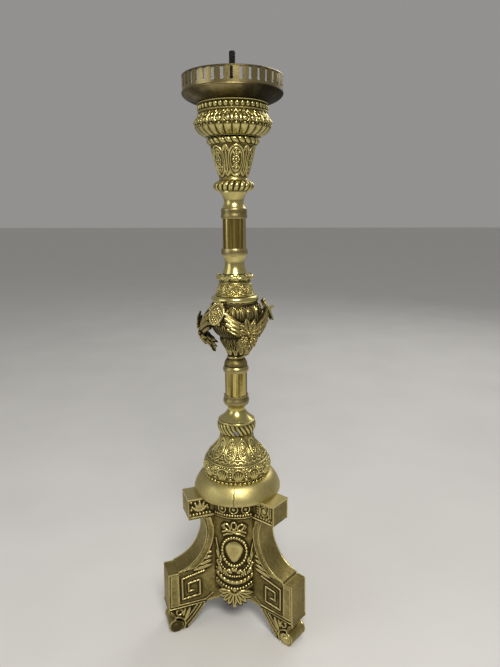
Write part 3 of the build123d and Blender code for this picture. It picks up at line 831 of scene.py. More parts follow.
def filled(loop, spacing, grid=True):
    """Even triangles inside a loop: their points, corners, and the numbers of the loop's own points."""
    points = [tuple(p) for p in loop]
    if grid:
        u, v = np.meshgrid(
            np.arange(loop[:, 0].min(), loop[:, 0].max(), spacing),
            np.arange(loop[:, 1].min(), loop[:, 1].max(), spacing * 0.87),
        )
        u[1::2] += spacing / 2
        u, v = u.ravel(), v.ravel()
        inside, nearest = within(u, v, loop)
        keep = inside & (nearest > 0.55 * spacing)
        points += list(zip(u[keep], v[keep]))
    ring = list(range(len(loop)))
    found, _, faces, origins, _, _ = delaunay_2d_cdt([Vector(p) for p in points], [], [ring], 1, 1e-7)
    place = {old: new for new, olds in enumerate(origins) for old in olds}
    corners = np.array([face for face in faces if len(face) == 3])
    flat = np.array([tuple(p) for p in found])
    edge1 = flat[corners[:, 1]] - flat[corners[:, 0]]
    edge2 = flat[corners[:, 2]] - flat[corners[:, 0]]
    turned = edge1[:, 0] * edge2[:, 1] - edge1[:, 1] * edge2[:, 0] < 0
    corners[turned] = corners[turned][:, ::-1]
    return flat, corners, np.array([place[k] for k in ring])


def sampled(grid, u, v, low, spacing):
    """A field on an even grid, read off between its points."""
    x = np.clip((u - low[0]) / spacing, 0, grid.shape[1] - 1.001)
    y = np.clip((v - low[1]) / spacing, 0, grid.shape[0] - 1.001)
    i, j = y.astype(int), x.astype(int)
    p, q = y - i, x - j
    return (
        grid[i, j] * (1 - p) * (1 - q)
        + grid[i, j + 1] * (1 - p) * q
        + grid[i + 1, j] * p * (1 - q)
        + grid[i + 1, j + 1] * p * q
    )


def slab(outline, spacing, relief, thickness):
    """A plate with relief in front and a flat back: points (u, v, height), triangles and wear."""
    loop = cut_loop(np.asarray(outline, float), spacing)
    flat, corners, ring = filled(loop, spacing)
    height = relief(flat[:, 0], flat[:, 1])
    low = loop.min(0)
    u, v = np.meshgrid(
        np.arange(low[0], loop[:, 0].max() + 1, spacing), np.arange(low[1], loop[:, 1].max() + 1, spacing)
    )
    wear_and_shade = sampled(wear_of(relief(u, v), spacing, False), flat[:, 0], flat[:, 1], low, spacing)
    behind, rear, rear_ring = filled(loop, spacing, grid=False)
    points = np.concatenate(
        [np.column_stack([flat, height]), np.column_stack([behind, np.full(len(behind), -thickness)])]
    )
    rear_ring = rear_ring + len(flat)
    after, rear_after = np.roll(ring, -1), np.roll(rear_ring, -1)
    area = np.sum(loop[:, 0] * np.roll(loop[:, 1], -1) - np.roll(loop[:, 0], -1) * loop[:, 1])
    wall = np.stack([ring, rear_ring, rear_after, after], -1)
    if area < 0:
        wall = wall[:, ::-1]
    wear_and_shade = np.append(wear_and_shade, np.full(len(behind), PLAIN_WEAR))
    return points, corners, rear[:, ::-1] + len(flat), wall, wear_and_shade


def placed(name, parts, place, mirrored=False):
    """A slab put in its place by place(points)."""
    points, front, rear, wall, wear_and_shade = parts
    triangles = np.concatenate([front, rear])
    if mirrored:
        triangles, wall = triangles[:, ::-1], wall[:, ::-1]
    return mesh_object(name, place(points), wall, triangles, wear_and_shade)


def face_outline(node, angle):
    """The outline of a side plate's outer face in (distance from the axis, height), from the CAD node."""
    mesh = nodes[node].data
    points = np.array([tuple(vertex.co) for vertex in mesh.vertices]) / MM
    c, s = math.cos(math.radians(angle)), math.sin(math.radians(angle))
    radial, side = points[:, 0] * c + points[:, 1] * s, points[:, 0] * s - points[:, 1] * c
    way = 1 if side.mean() > 0 else -1
    face = max(way * side)
    first = {}
    merged = [first.setdefault(tuple(np.round(p, 2)), k) for k, p in enumerate(points)]
    edges = set()
    for polygon in mesh.polygons:
        corners = list(polygon.vertices)
        if all(abs(way * side[k] - face) < 0.02 for k in corners):
            edges |= {(merged[a], merged[b]) for a, b in zip(corners, corners[1:] + corners[:1])}
    following = {a: b for a, b in edges if (b, a) not in edges}
    chains = []
    while following:
        start, end = following.popitem()
        chain = [start]
        while end != chain[0] and end in following:
            chain.append(end)
            end = following.pop(end)
        chains.append(chain)
    longest = max(chains, key=len)
    return np.stack([radial[longest], points[longest, 2]], -1), way, face


def line(u, v, points, reach, height):
    """A rounded ridge along a broken line."""
    return dome(polyline(u, v, points), reach, height)


def row(start, end, count):
    """Even places on a straight line."""
    (x0, y0), (x1, y1) = start, end
    return [(x0 + (x1 - x0) * k / (count - 1), y0 + (y1 - y0) * k / (count - 1)) for k in range(count)]


COVE_CENTRE = (87.0, 120.0)
COVE_R = 45.0
ROLL_CENTRE = (80.0, 7.8)
ROLL_R = 8.2
ROLL_START, ROLL_SWEEP = 78.0, 286.0  # degrees
ROLL_CAP = (7.25, 7.25, 0.8)  # the radii of the low dome over each end of a roll, and of its knob
ROLL_KNOB = (4.5, 4.5, 2.4)
STRIP_HALF = 13.5
STRIP_THICK = 1.5
STRIP_SPACING = 1.4
FOLD_EASE = 0.5  # how far from a sharp fold the strip begins to turn
SHARP_BEND = 0.3
CLOSEST = 0.08  # points nearer to each other than this are one
BOSS = (48.6, 152.4)  # the middle of the motif on a leg's block
KEY_LINE = (
    # the square meander, from its outer end inwards
    *((45, 71), (71.5, 66), (71.5, 40), (51, 41.5)),
    *((51, 60.5), (64.5, 58.8), (64.5, 48.5), (58.0, 49.0)),
)


def plate_relief(u, v, palmette):
    """A side plate: block motif, cove border, leaf, square meander and the leafy bracket."""
    cove = np.hypot(u - COVE_CENTRE[0], v - COVE_CENTRE[1]) - COVE_R
    in_cove = (v < 137) & (v > 76)
    field = most(
        np.full(np.shape(u), 0.30),
        dome(cove - 2.6, 0.7, 1.0) * in_cove,
        0.62 * ((cove > 2.6) & (cove < 8.4)) * in_cove,
        dome(cove - 8.6, 0.7, 0.95) * in_cove * (v < 128),
        line(u, v, ((74.5, 72.4), (84.4, 72.4), (85.4, 34.0)), 0.7, 0.95),
        0.62 * ((u > 75.2) & (u < 85.0) & (v > 33) & (v < 72)),
        line(u, v, ((85.2, 33.4), (45.0, 33.0), (36.0, 39.0)), 0.8, 1.0),
        line(u, v, KEY_LINE, 1.05, 1.15),
        leaf(u, v, (35.5, 77), (58, 74.0), 4.6, 1.3),
        leaf(u, v, (36, 82.5), (51, 79.5), 4.2, 1.3),
        leaf(u, v, (36, 88), (45, 86.0), 3.8, 1.3),
        leaf(u, v, (35.5, 93.5), (41, 92.0), 3.0, 1.3),
    )
    bracket = most(
        line(u, v, ((45.6, 28.6), (56.4, 14.9), (66.0, 4.2)), 1.0, 1.3),
        line(u, v, ((50.0, 28.6), (59.6, 16.6), (69.4, 7.0)), 0.9, 1.2),
        line(u, v, ((55.0, 28.0), (63.4, 18.4), (70.6, 11.4)), 0.8, 1.1),
        circle(u, v, ROLL_CENTRE, 10.4, 0.9, 1.25),
        circle(u, v, (76.0, 24.2), 3.4, 0.9, 1.2) * (v < 27.5),
        leaf(u, v, (70.0, 13.0), (63.0, 27.5), 4.4, 1.3),
        leaf(u, v, (72.0, 18.0), (69.0, 28.0), 3.2, 1.2),
        leaf(u, v, (81.5, 20.5), (86.5, 27.5), 3.0, 1.2),
        line(u, v, ((46, 30.2), (87, 29.8)), 0.8, 1.0),
    )
    if palmette:
        leans = [math.radians(lean) for lean in (-62, -32, 0, 32, 62)]
        tips = [(48.6 + 9.6 * math.sin(lean), 147.0 + 11.6 * math.cos(lean)) for lean in leans]
        motif = most(
            leaves(u, v, [((48.6, 146.6), tip, 4.2, 1.3) for tip in tips]),
            beads(u, v, tips, 1.4, 1.3),
            beads(u, v, [(39.4, 158.5), (58.2, 158.5), (39.4, 149.5), (58.2, 149.5)], 1.5, 1.3),
        )
    else:
        edges = (((39.6, 160), (57.6, 160), 7), ((39.6, 148), (39.6, 160), 5), ((57.6, 148), (57.6, 160), 5))
        motif = most(
            bead(u, v, *BOSS, 3.7, 1.5),
            circle(u, v, BOSS, 5.0, 0.8, 0.9),
            dome(np.maximum(np.abs(u - BOSS[0]), np.abs(v - BOSS[1])) - 6.6, 0.6, 0.9),
            *(beads(u, v, row(*edge), 1.3, 1.25) for edge in edges),
        )
    block = most(
        motif,
        0.1 + dome(v - 139.6, 1.3, 1.1),
        beads(u, v, row((37.0, 143.4), (59.6, 143.4), 7), 1.7, 1.35),
        line(u, v, ((60.4, 162), (60.4, 138.0)), 0.6, 1.1),
    )
    return np.where(v > 137.8, block, np.where(v < 30.6, bracket, field))


def strip_line():
    """The outer line of a leg's folded strip in (distance from the axis, height), ending in its roll."""
    cx, cz = COVE_CENTRE
    turns = np.radians(np.linspace(156.4, 252.8, 60))
    cove = [(cx + COVE_R * math.cos(a), cz + COVE_R * math.sin(a)) for a in turns]
    cx, cz = ROLL_CENTRE
    turns = np.radians(ROLL_START - np.linspace(0, ROLL_SWEEP, 64))
    roll = [(cx + ROLL_R * math.cos(a), max(0.02, cz + ROLL_R * math.sin(a))) for a in turns]
    corners = [(62, 160.9), (62, 138), *cove, (75.7, 77.0), (75.7, 75), (87, 75)]
    corners += [(88, 30), (89, 27.5), (88.2, 25.4), (81.0, 19.4), *roll]
    out = [np.array(corners[0], float)]
    for before, here, after in zip(corners, corners[1:], corners[2:]):
        before, here, after = (np.array(p, float) for p in (before, here, after))
        come, go = here - before, after - here
        first, second = np.hypot(*come), np.hypot(*go)
        bend = abs(come[0] * go[1] - come[1] * go[0]) / (first * second)
        ease = min(FOLD_EASE, first / 3, second / 3) if bend > SHARP_BEND else 0
        steps = int(np.hypot(*(here - out[-1])) / STRIP_SPACING)
        start = out[-1]
        out += [start + (here - start) * k / (steps + 1) for k in range(1, steps + 1)]
        out += [here - come / first * ease, here + go / second * ease] if ease else [here]
    out.append(np.array(corners[-1], float))
    keep = [out[0]]
    for point in out[1:]:
        if np.hypot(*(point - keep[-1])) > CLOSEST:
            keep.append(point)
    return np.array(keep)


def build_strips():
    """The three folded strips: beaten satin sheet, a bead along each edge and a knob on each roll's end."""
    path = strip_line()
    along = np.concatenate([[0], np.cumsum(np.hypot(*np.diff(path, axis=0).T))])
    tangent = np.gradient(path, axis=0)
    tangent /= np.hypot(tangent[:, 0], tangent[:, 1])[:, None]
    out = np.stack([-tangent[:, 1], tangent[:, 0]], -1)
    out *= np.sign(out[1, 0])
    edge = STRIP_HALF - np.array([0, 0.2, 0.5, 0.9, 1.3, 1.6])
    yy, ss = np.meshgrid(np.concatenate([-edge, np.linspace(-11, 11, 23), edge[::-1]]), along)
    beaten = 0.06 * np.sin(ss * 0.23 + 0.3 * yy) * np.sin(yy * 0.27 + 1.1 * np.sin(ss * 0.13))
    bead_height = 0.45 * np.clip(1 - ((np.abs(yy) - 12.75) / 0.8) ** 2, 0, 1) ** 0.5
    height = beaten * (np.abs(yy) < 12) + bead_height - 0.45
    front = np.concatenate([path[:, None] + out[:, None] * height[..., None], yy[..., None]], -1)
    back = path - out * STRIP_THICK
    rear = [np.column_stack([back, np.full(len(path), side)]) for side in (STRIP_HALF, -STRIP_HALF)]
    wear_and_shade = np.concatenate([0.44 + bead_height, np.full((len(path), 2), 0.3)], 1)
    shape = Sculpt()
    shape.band(np.concatenate([front, np.stack(rear, 1)], 1), wear_and_shade, 0.4, turned_over=True)
    for side in (-1, 1):
        shape.ball((*ROLL_CENTRE, side * STRIP_HALF), ROLL_CAP, 32)
        shape.ball((*ROLL_CENTRE, side * (STRIP_HALF + 0.4)), ROLL_KNOB, 24)
    for number, angle in enumerate(LEG_ANGLES, start=1):
        piece = shape.build(f"leg_strip_{number}_beaten", lambda p: turned(p[:, 0], -p[:, 2], p[:, 1], angle))
        finish_piece(piece, "sheet", f"leg_strip_{number}")


def bent(t, z, points, reach, height):
    """Beads along a broken line, evenly spaced."""
    points = np.array(points, float)
    steps = np.hypot(*np.diff(points, axis=0).T)
    along = np.concatenate([[0], np.cumsum(steps)])
    count = max(2, int(round(along[-1] / (2.05 * reach))) + 1)
    spots = np.linspace(0, along[-1], count)
    places = zip(np.interp(spots, along, points[:, 0]), np.interp(spots, along, points[:, 1]))
    return beads(t, z, list(places), reach, height)


def hang(width, top, drop, steps=17):
    """A hanging curve from side to side."""
    x = np.linspace(-1, 1, steps)
    return [(width * k, top - drop * (1 - k * k)) for k in x]


SIDE_LEAVES = (
    # start and end of each leaf of the panel's garlands, its width and its height
    ((23.4, 98), (19.6, 89), 3.6, 1.6),
    ((17.8, 92), (16.4, 84.5), 3.6, 1.6),
    ((23.4, 84.6), (18.6, 78), 3.6, 1.6),
    ((14.6, 74.6), (7.4, 70.4), 4.2, 1.75),
    ((8.4, 77.0), (2.4, 72.4), 4.2, 1.75),
    ((21.4, 77.8), (14.6, 72.0), 4.2, 1.75),
    ((2.8, 79.0), (0.2, 74.6), 4.2, 1.75),
)
SIDE_BEADS = ((21.8, 92.0), (19.4, 85.6), (16.2, 80.0), (11.5, 75.6), (6.0, 73.0))


def bow_loop(t, z, x, y, lean):
    """One loop of the panel's ribbon bow."""
    c, s = math.cos(lean), math.sin(lean)
    across, up = (t - x) * c + (z - y) * s, (z - y) * c - (t - x) * s
    return dome(oval(across, up, 2.9, 4.4), 1.15, 1.7)


def fan_leaf(t, z, lean):
    """One leaf of the panel's fan."""
    c, s = math.cos(lean), math.sin(lean)
    start, end = (5.0 * s, 50.4 - 3.6 * c), (FAN_HALF * s, 50.6 - 20.6 * c)
    return leaf(t, z, start, end, 7.6 - 0.8 * abs(s), 2.1, 0.35)


def panel_relief(t, z):
    """The centre panel, from its frieze of bosses down to its fan of leaves."""
    side = np.abs(t)
    narrow = 11.9 - 0.30 * np.clip(103 - z, 0, 20)
    frieze = most(
        np.full(np.shape(t), 0.3),
        dome(z - 159.6, 1.2, 1.2),
        dome(z - 141.2, 0.8, 0.9),
        *(circle(t, z, (x, 151.8), 4.7, 0.85, 1.25) for x in (-14.2, 0.0, 14.2)),
        beads(t, z, [(-14.2, 151.8), (0.0, 151.8), (14.2, 151.8)], 2.2, 1.6),
        beads(t, z, row((-23.5, 144.2), (23.5, 144.2), 16), 1.5, 1.5),
    )
    bow = most(
        bow_loop(t, z, 0.0, 132.0, 0.0),
        bow_loop(t, z, 8.0, 130.0, -0.8),
        bow_loop(t, z, -8.0, 130.0, 0.8),
        bead(t, z, 0, 125.0, 2.9, 1.85),
        line(side, z, ((2.0, 125.4), (8.5, 125.6), (14.0, 123.0)), 1.35, 1.6),
        line(side, z, ((2.0, 122.8), (8.0, 121.8), (12.6, 119.0)), 1.35, 1.6),
        line(side, z, ((12.4, 127.4), (14.6, 130.4), (12.4, 132.8)), 0.9, 1.3),
    )
    medallion = most(
        beads(t, z, wreath(0, 99.2, 14.9, 17.8, 28), 1.95, 1.8),
        dome(np.hypot(t / narrow, (z - 99.8) / 13.6), 1.0, 3.2),
        bent(side, z, SIDE_BEADS, 1.5, 1.7),
        leaves(side, z, SIDE_LEAVES),
        line(side, z, ((23.6, 112), (21.4, 101), (19.6, 93)), 0.9, 1.2),
    )
    swag = most(
        bent(t, z, hang(23.5, 74.4, 6.4), 1.35, 1.5),
        line(t, z, hang(23.5, 68.6, 8.2), 3.1, 1.45),
        bent(t, z, hang(21.5, 68.6, 8.4), 2.5, 2.3),
        bent(t, z, hang(23.5, 60.0, 8.0), 1.7, 1.75),
        line(t, z, hang(24.5, 56.0, 7.4), 0.7, 0.9),
    )
    fan = most(
        *(fan_leaf(t, z, math.radians(FAN_FIRST + FAN_STEP * k)) for k in range(9)),
        bead(t, z, 0, 51.0, 3.0, 1.9),
        bead(t, z, 0, 30.8, 2.6, 2.7),
    )
    return most(frieze, bow, medallion, swag, fan)


PANEL_RADIUS = 37.0
PANEL_HALF = 24.85
PANEL_TOP = 161.0
PANEL_FOOT = 28.0
FAN_Z = 50.0
FAN_HALF = 24.4
FAN_FIRST, FAN_STEP = -74.0, 18.5  # the lean of the fan's first leaf and from leaf to leaf, in degrees
PANEL_SUNK = 1.95  # how far the ground lies under the CAD panel's face
PLATE_SUNK = 1.35
PANEL_SHIFT = 2.4  # the stamping sits a little to one side of the panel's middle


def panel_outline():
    """The panel's outline: straight sides and the fan's leaf tips at the bottom."""
    points = [(PANEL_HALF, PANEL_TOP), (-PANEL_HALF, PANEL_TOP), (-PANEL_HALF, FAN_Z)]
    for lean in np.linspace(-83, 83, 145):
        tip = abs(math.cos((lean - FAN_FIRST) / FAN_STEP * math.pi)) ** 0.7
        reach = 17.0 + 4.6 * tip
        across = 1.12 * reach * math.sin(math.radians(lean)) + PANEL_SHIFT
        up = FAN_Z - reach * math.cos(math.radians(lean))
        points.append((np.clip(across, -FAN_HALF, FAN_HALF), max(PANEL_FOOT, up)))
    return np.array(points + [(PANEL_HALF, FAN_Z)])


THREADS = ((149.0, 162.0), (544.0, 556.0), (579.4, 623.0))
THREAD_PITCH = 1.25
THREAD_DEPTH = 0.42
ROD_R = 3.2
SHANK_R = 3.0
ROD_TIP = 0.6  # how high and wide the bevel on the rod's free end is


def build_rod():
    """The tie rod, with a cut thread at its foot, under the capital's nut and on its free end."""
    levels = list(np.linspace(170, 536, 40))
    for low, high in THREADS:
        levels += [*np.arange(low + 0.01, high - ROD_TIP, THREAD_PITCH / 5), high - ROD_TIP, high - 0.01]
    levels = np.array(sorted(levels))
    around = 28
    a, z = np.meshgrid(np.arange(around) * TAU / around, levels)
    radius = np.full(a.shape, SHANK_R)
    wear_and_shade = np.full(a.shape, PLAIN_WEAR)
    for low, high in THREADS:
        inside = (z >= low) & (z <= high)
        tooth = 2 * np.abs((z / THREAD_PITCH - a / TAU) % 1.0 - 0.5)
        bevel = np.clip((high - z) / ROD_TIP, 0, 1) * ROD_TIP - ROD_TIP if high == THREADS[-1][1] else 0
        radius = np.where(inside, ROD_R + bevel - THREAD_DEPTH * tooth, radius)
        wear_and_shade = np.where(inside, 1 - tooth, wear_and_shade)
    rings = np.stack([radius * np.cos(a), radius * np.sin(a), z], -1).reshape(-1, 3)
    points = np.concatenate([rings, [[0, 0, levels[0]], [0, 0, levels[-1]]]])
    wear_and_shade = np.append(wear_and_shade.ravel(), [0.5, 0.5])
    piece = mesh_object("tie_rod_threaded", points, *tube_faces(len(levels), around), wear_and_shade)
    finish_piece(piece, "iron", "tie_rod")


def build_base():
    """The three centre panels and the six side plates."""
    panel = slab(panel_outline(), 0.5, lambda t, z: panel_relief(t - PANEL_SHIFT, z) - PANEL_SUNK, 3.4)
    for number, angle in enumerate(PANEL_ANGLES, start=1):
        piece = placed(f"centre_panel_{number}_relief", panel, lambda p: wrapped(p, angle, PANEL_RADIUS))
        finish_piece(piece, "panel", f"centre_panel_{number}")
    outline = face_outline("leg_1_right_plate", LEG_ANGLES[0])[0]
    plates = {
        "right": slab(outline, 0.55, lambda u, v: plate_relief(u, v, False) - PLATE_SUNK, 2.0),
        "left": slab(outline, 0.55, lambda u, v: plate_relief(u, v, True) - PLATE_SUNK, 2.0),
    }
    for number, angle in enumerate(LEG_ANGLES, start=1):
        for hand, plate in plates.items():
            node = f"leg_{number}_{hand}_plate"
            _, way, face = face_outline(node, angle)

            def beside(points):
                return turned(points[:, 0], -way * (face + points[:, 2]), points[:, 1], angle)

            piece = placed(f"{node}_relief", plate, beside, mirrored=way < 0)
            finish_piece(piece, "plate", node)


# ---------------------------------------------------------------- the urn's cast ornament


class Sculpt:
    """Closed shapes gathered into one mesh, laid out flat: along the round, up, and out."""

    def __init__(self):
        self.points, self.quads, self.triangles, self.wear_and_shade, self.count = [], [], [], [], 0

    def put(self, points, quads, triangles, wear_and_shade):
        self.points.append(points)
        self.quads.append(np.asarray(quads, int).reshape(-1, 4) + self.count)
        self.triangles.append(np.asarray(triangles, int).reshape(-1, 3) + self.count)
        self.wear_and_shade.append(wear_and_shade)
        self.count += len(points)

    def band(self, ring, wear_and_shade, ends, turned_over=False):
        """A closed tube through rows of points, with a cap over each end; ends is how worn the caps are."""
        faces = tube_faces(*ring.shape[:2])
        if turned_over:
            faces = [np.roll(part[:, ::-1], 1, 1) for part in faces]
        points = np.concatenate([ring.reshape(-1, 3), [ring[0].mean(0), ring[-1].mean(0)]])
        self.put(points, *faces, np.append(wear_and_shade.ravel(), [ends, ends]))

    def sweep(self, path, half, crown, under, across):
        """A closed band along a path; crown(w, s) is its height across and along."""
        path = np.asarray(path, float)
        tangent = np.gradient(path, axis=0)
        tangent /= np.linalg.norm(tangent, axis=1)[:, None]
        side = np.cross(tangent, (0.0, 0.0, 1.0))
        side /= np.linalg.norm(side, axis=1)[:, None]
        outward = np.cross(side, tangent)[:, None]
        w, s = np.meshgrid(np.linspace(-1, 1, across), np.linspace(0, 1, len(path)))
        height = crown(w, s)
        middle = path[:, None] + side[:, None] * (w * half[:, None])[..., None]
        depth = under * np.sqrt(1 - w**2) * np.clip(half[:, None] / 0.8, 0.2, 1)
        lower = middle - outward * depth[..., None]
        ring = np.concatenate([middle + outward * height[..., None], lower[:, ::-1][:, 1:-1]], 1)
        stands = (height - height.mean()) / max(height.std(), 1e-3)
        wear_and_shade = np.concatenate([0.50 + 0.20 * stands, np.full((len(path), across - 2), 0.15)], 1)
        self.band(ring, wear_and_shade, 0.5)

    def leaf(self, base, tip, width, belly=1.0, flick=1.0, crown=1.2, steps=15):
        """A pointed leaf that bellies out and flicks its tip, with a sunk vein and side ribs."""
        base, tip = np.asarray(base, float), np.asarray(tip, float)
        s = np.linspace(0, 1, steps)
        path = base + (tip - base) * s[:, None]
        path[:, 2] += belly * np.sin(math.pi * s) + flick * s**3
        half = width / 2 * np.clip(np.sin(math.pi * np.clip(s * 0.86 + 0.12, 0, 1)) ** 0.8, 0.07, 1)

        def surface(w, along):
            ribs = 0.16 * np.cos(along * 38 - np.abs(w) * 5)
            return crown * (np.sqrt(1 - w**2) * (0.8 + ribs) - 0.55 * np.exp(-((w / 0.17) ** 2)) * (1 - w**2))

        self.sweep(path, half, surface, 0.7, 9)

    def ball(self, centre, radii, turns=10):
        """A bead."""
        levels = 6
        rises = np.linspace(-1, 1, levels + 2)[1:-1] * math.pi / 2
        rise, turn = np.meshgrid(rises, np.arange(turns) * TAU / turns, indexing="ij")
        rings = np.stack([np.cos(rise) * np.cos(turn), np.cos(rise) * np.sin(turn), np.sin(rise)], -1)
        unit = np.concatenate([rings.reshape(-1, 3), [[0, 0, -1], [0, 0, 1]]])
        faces = tube_faces(levels, turns)
        self.put(np.asarray(centre) + unit * np.asarray(radii), *faces, 0.45 + 0.4 * unit[:, 2])

    def build(self, name, place):
        points = np.concatenate(self.points)
        wear_and_shade = np.clip(np.concatenate(self.wear_and_shade), 0, 1)
        quads, triangles = np.concatenate(self.quads), np.concatenate(self.triangles)
        return mesh_object(name, place(points), quads, triangles, wear_and_shade, 50)


CARTOUCHE_ANGLES = (8, 128, 248)
GARLAND_ANGLES = (68, 188, 308)
GARLAND_R = 35.0
GARLAND_SHIFT = -3.5  # the flower sits a little to one side of the swag's middle
PENDANT_R = 29.7
PENDANT_Z = 345.5
PENDANT_LEAN = math.radians(22.0)


def under_garland(points, angle):
    """Puts flat points under a garland, leaning in towards the stem as they go down."""
    c, s = math.cos(PENDANT_LEAN), math.sin(PENDANT_LEAN)
    radius = PENDANT_R + points[:, 1] * s + points[:, 2] * c
    level = PENDANT_Z + points[:, 1] * c - points[:, 2] * s
    return turned(radius, points[:, 0], level, angle)


STRANDS = (
    # each strand's height at its ends and at its middle, its half thickness, and how far out it lies
    (371.0, 352.6, 2.0, 0.4),
    (366.0, 349.2, 2.4, 1.4),
    (360.4, 345.8, 2.4, 1.1),
    (354.4, 342.8, 2.1, -1.0),
)
CROWN_Z = 351.6
CROWN_LEAVES = (
    # the lean in degrees, the length, the width and the flick of each leaf that stands over the flower
    (-76, 9.8, 6.4, 3.0),
    (-44, 12.2, 7.0, 2.4),
    (-12, 14.8, 7.6, 1.6),
    (22, 13.8, 7.4, 1.9),
    (56, 11.6, 6.8, 2.6),
    (86, 9.0, 6.0, 3.0),
)
SPRAY_LEAVES = ((-78, 12.4), (-48, 13.6), (-16, 13.4), (18, 14.2), (46, 13.2), (76, 12.2))
SWAG_BERRIES = ((-7.8, 349.6, 1.4), (7.6, 350.0, 1.4), (-0.6, 350.6, 2.0), (1.4, 341.4, 1.5), (0, 337.2, 1.3))


def garland():
    """Four festoon strands drawn together at a leafy flower, with rosettes and a leafy spray under it."""
    shape = Sculpt()
    s = np.linspace(-1, 1, 57)
    for ends, middle, thick, out in STRANDS:
        reach = 27.4 - 0.16 * (STRANDS[0][0] - ends)
        level = middle + (ends - middle) * np.abs(s) ** 1.15
        away = out - 1.2 * np.abs(s) ** 2 + 0.25 * np.sin(s * 11 + ends)
        half = thick * (0.90 + 0.30 * np.abs(s)) * (1 + 0.07 * np.sin(s * 26 + ends))

        def folds(w, along):
            return 2.4 * np.sqrt(1 - w**2) * (0.86 + 0.14 * np.cos(w * 9 + 3 * np.sin(along * 9)))

        shape.sweep(np.stack([reach * s, level, away], -1), half, folds, 2.0, 13)
    left = GARLAND_SHIFT
    for lean, size, width, flick in CROWN_LEAVES:
        a = math.radians(lean)
        tip = (left + size * math.sin(a), CROWN_Z + size * math.cos(a), 1.8)
        shape.leaf((left + 2.0 * math.sin(a), CROWN_Z - 0.8, 2.8), tip, width, 2.6, flick, 1.7)
    for x, z, size in ((-4.8, 343.8, 5.0), (4.8, 344.2, 4.6)):
        for k in range(6):
            a = TAU * k / 6 + 0.3 * x
            tip = (left + x + size * math.sin(a), z + size * math.cos(a), 2.2)
            shape.leaf((left + x + math.sin(a), z + math.cos(a), 3.0), tip, 3.8, 1.6, -0.4, 1.4, 9)
        shape.ball((left + x, z, 4.4), (1.6, 1.6, 1.5), 8)
    for layer, lift in ((0, 1.0), (1, -4.5), (2, -9.0)):
        for lean, size in SPRAY_LEAVES:
            a = math.radians(lean + 9 * layer)
            tip = (left + size * math.sin(a), 341.8 - 3.0 * layer - 0.8 * size * math.cos(a), lift - 3.0)
            start = (left + 2.0 * math.sin(a), 342.4 - 2.0 * layer, lift)
            shape.leaf(start, tip, 6.4, 2.4, -1.6, 1.5, 11)
    for x, z, r in SWAG_BERRIES:
        shape.ball((left + x, z, 3.6), (r, r, r), 8)
    return shape


HUSKS = (
    # the height of each row of husks, how far its tips spread, and its leaves' length and width
    (-1.0, 5.6, 9.0, 6.4),
    (-6.4, 4.8, 8.6, 5.8),
    (-11.6, 3.4, 7.8, 4.8),
    (-16.0, 2.0, 6.4, 3.8),
)


def pendant():
    """A drop of overlapping husks that narrows to a point."""
    shape = Sculpt()
    for level, spread, length, width in HUSKS:
        for way in (-1, 1):
            shape.leaf((way * 0.6, level, 1.4), (way * spread, level - length, 1.8), width, 1.4, 0.6, 1.2, 11)
        shape.leaf((0, level - 0.5, 2.0), (0, level - length - 1.4, 1.4), width * 0.9, 1.3, 0.2, 1.2, 11)
        shape.ball((0, level, 2.8), (1.4, 1.4, 1.2), 8)
    shape.leaf((0, -18.0, 1.2), (0, -24.0, 0.8), 2.8, 0.4, 0, 0.9, 9)
    return shape


CARTOUCHE_R = 32.4
CARTOUCHE_Z = 368.0
CARTOUCHE_TILT = math.radians(26.5)
CARTOUCHE_THICK = 3.4


def leaning(points, angle):
    """Puts flat points on a cartouche's tilted back."""
    c, s = math.cos(CARTOUCHE_TILT), math.sin(CARTOUCHE_TILT)
    out = CARTOUCHE_THICK + points[:, 2]
    radius = CARTOUCHE_R - points[:, 1] * s + out * c
    return turned(radius, points[:, 0], CARTOUCHE_Z + points[:, 1] * c + out * s, angle)


def cartouche_outline():
    """A shield's outline: an oval with a faintly lobed edge."""
    a = np.arange(72)[::-1] * TAU / 72
    wide, high = 9.4 * (1 + 0.05 * np.cos(6 * a)), 11.9 * (1 + 0.03 * np.cos(8 * a))
    return np.stack([wide * np.sin(a), high * np.cos(a)], -1)


def cartouche_relief(u, v):
    """A domed shield with a fine rim and a grainy field of crossed ribs and beads."""
    egg = np.hypot(u / (9.2 + 0.10 * v), (v + 0.3) / 11.8)
    swell = np.clip(1 - egg**2, 0, 1) - 0.7 * np.clip(egg - 0.6, 0, 1)
    ribs = most(*(dome((u + way * v) % 3.0 - 1.5, 0.8, 0.9) for way in (0.8, -0.8)))
    field = most(
        ribs * (egg < 0.88),
        dome((egg - 0.93) * 10, 0.9, 1.1),
        bead(u, v, -0.6, 2.6, 1.6, 1.5),
        beads(u, v, wreath(-0.6, 2.6, 3.1, 3.1, 6, 0.2), 1.3, 1.3),
    )
    return field * 0.85 + swell


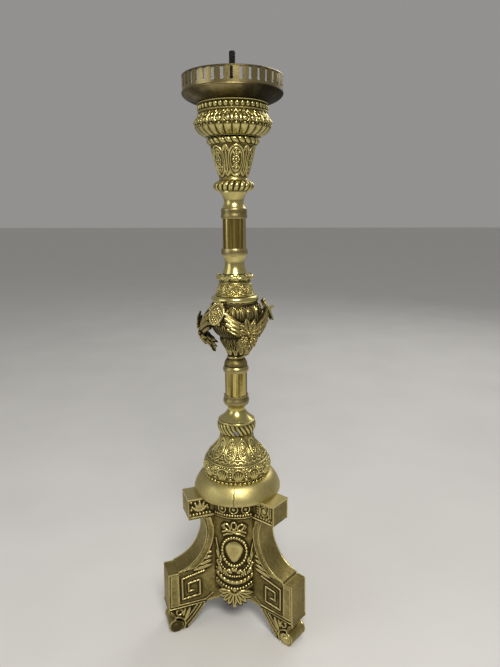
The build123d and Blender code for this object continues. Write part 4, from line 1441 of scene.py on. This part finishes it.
def build_urn_ornament():
    """Cartouches, pendants and garlands, three of each."""
    hung = garland()
    drop = pendant()
    shield = slab(cartouche_outline(), 0.42, lambda u, v: cartouche_relief(u, v) - 0.1, CARTOUCHE_THICK)
    scroll = Sculpt()
    scroll.ball((0, 11.2, -0.4), (4.4, 1.7, 1.8), 14)
    for way in (-1, 1):
        scroll.ball((way * 4.4, 10.8, -0.3), (1.4, 2.0, 1.9), 12)
        scroll.leaf((way * 3.0, -8.0, -1.0), (way * 6.8, -11.8, -0.6), 4.2, 0.4, 0.3, 1.1, 11)
    for number, (shown_at, hung_at) in enumerate(zip(CARTOUCHE_ANGLES, GARLAND_ANGLES), start=1):
        pieces = {
            "garland": hung.build(f"garland_{number}_cast", lambda p: wrapped(p, hung_at, GARLAND_R)),
            "pendant": drop.build(f"pendant_{number}_cast", lambda p: under_garland(p, hung_at)),
            "cartouche": placed(f"cartouche_{number}_cast", shield, lambda p: leaning(p, shown_at)),
        }
        for node, piece in pieces.items():
            finish_piece(piece, "cast", f"{node}_{number}")
        piece = scroll.build(f"cartouche_{number}_scroll", lambda p: leaning(p, shown_at))
        finish_piece(piece, "cast", f"cartouche_{number}")


# ---------------------------------------------------------------- build

add_camera()
add_stage()
MATERIALS = {kind: brass(f"brass_{kind}", *finish) for kind, finish in FINISHES.items()}
MATERIALS["iron"] = iron_material()

RELIEFS = (
    # node, relief, its strength, how far the ground is sunk, spacing, material
    ("base_flange", flange_relief, 1.0, 0.1, 0.6, "satin"),
    ("bead_ring", bead_ring_relief, 1.0, 2.0, 0.34, "relief"),
    ("acanthus_torus", torus_relief, 0.75, 0.8, 0.36, "chased"),
    ("lower_bell", bell_relief, 0.6, 0.55, 0.36, "chased"),
    ("lower_gadroon_collar", lower_gadroon_relief, 0.8, 1.1, 0.4, "relief"),
    ("urn_foot", urn_foot_relief, 0.9, 0.9, 0.4, "cast"),
    ("urn_bowl", urn_bowl_relief, 0.9, 0.8, 0.38, "cast"),
    ("urn_cover", cover_relief, 0.7, 0.6, 0.30, "chased"),
    ("leaf_collar", leaf_collar_relief, 1.2, 1.5, 0.34, "relief"),
    ("upper_gadroon_collar", upper_gadroon_relief, 0.85, 1.4, 0.38, "relief"),
    ("capital_cone", cone_relief, 0.75, 0.75, 0.34, "chased"),
    ("rope_collar", rope_relief, 0.75, 1.3, 0.36, "relief"),
    ("capital_bowl", bowl_relief, 0.75, 1.2, 0.36, "relief"),
    ("capital_bead_collar", bead_collar_relief, 0.85, 1.3, 0.36, "relief"),
)
for turned_piece in RELIEFS:
    turned_relief(*turned_piece)

build_rod()
build_strips()
build_base()
build_urn_ornament()

PLAIN = {
    "top": ["base_top_plate"],
    "smooth": ["lower_neck", "urn_neck", "urn_rim_ring", "upper_neck", "pan_bush"],
    "tube": ["lower_tube", "upper_tube"],
    "ring": [
        "lower_tube_foot_ring",
        "lower_tube_head_ring",
        "upper_tube_foot_ring",
        "upper_tube_head_ring",
        "cartouche_screws",
    ],
    "pan": ["drip_pan_gallery"],
    "dish": ["drip_pan_dish"],
    "iron": ["bottom_nut", "bottom_washer", "capital_nut", "capital_washer"],
}
for kind, members in PLAIN.items():
    for member in members:
        nodes[member].data.materials.clear()
        nodes[member].data.materials.append(MATERIALS[kind])
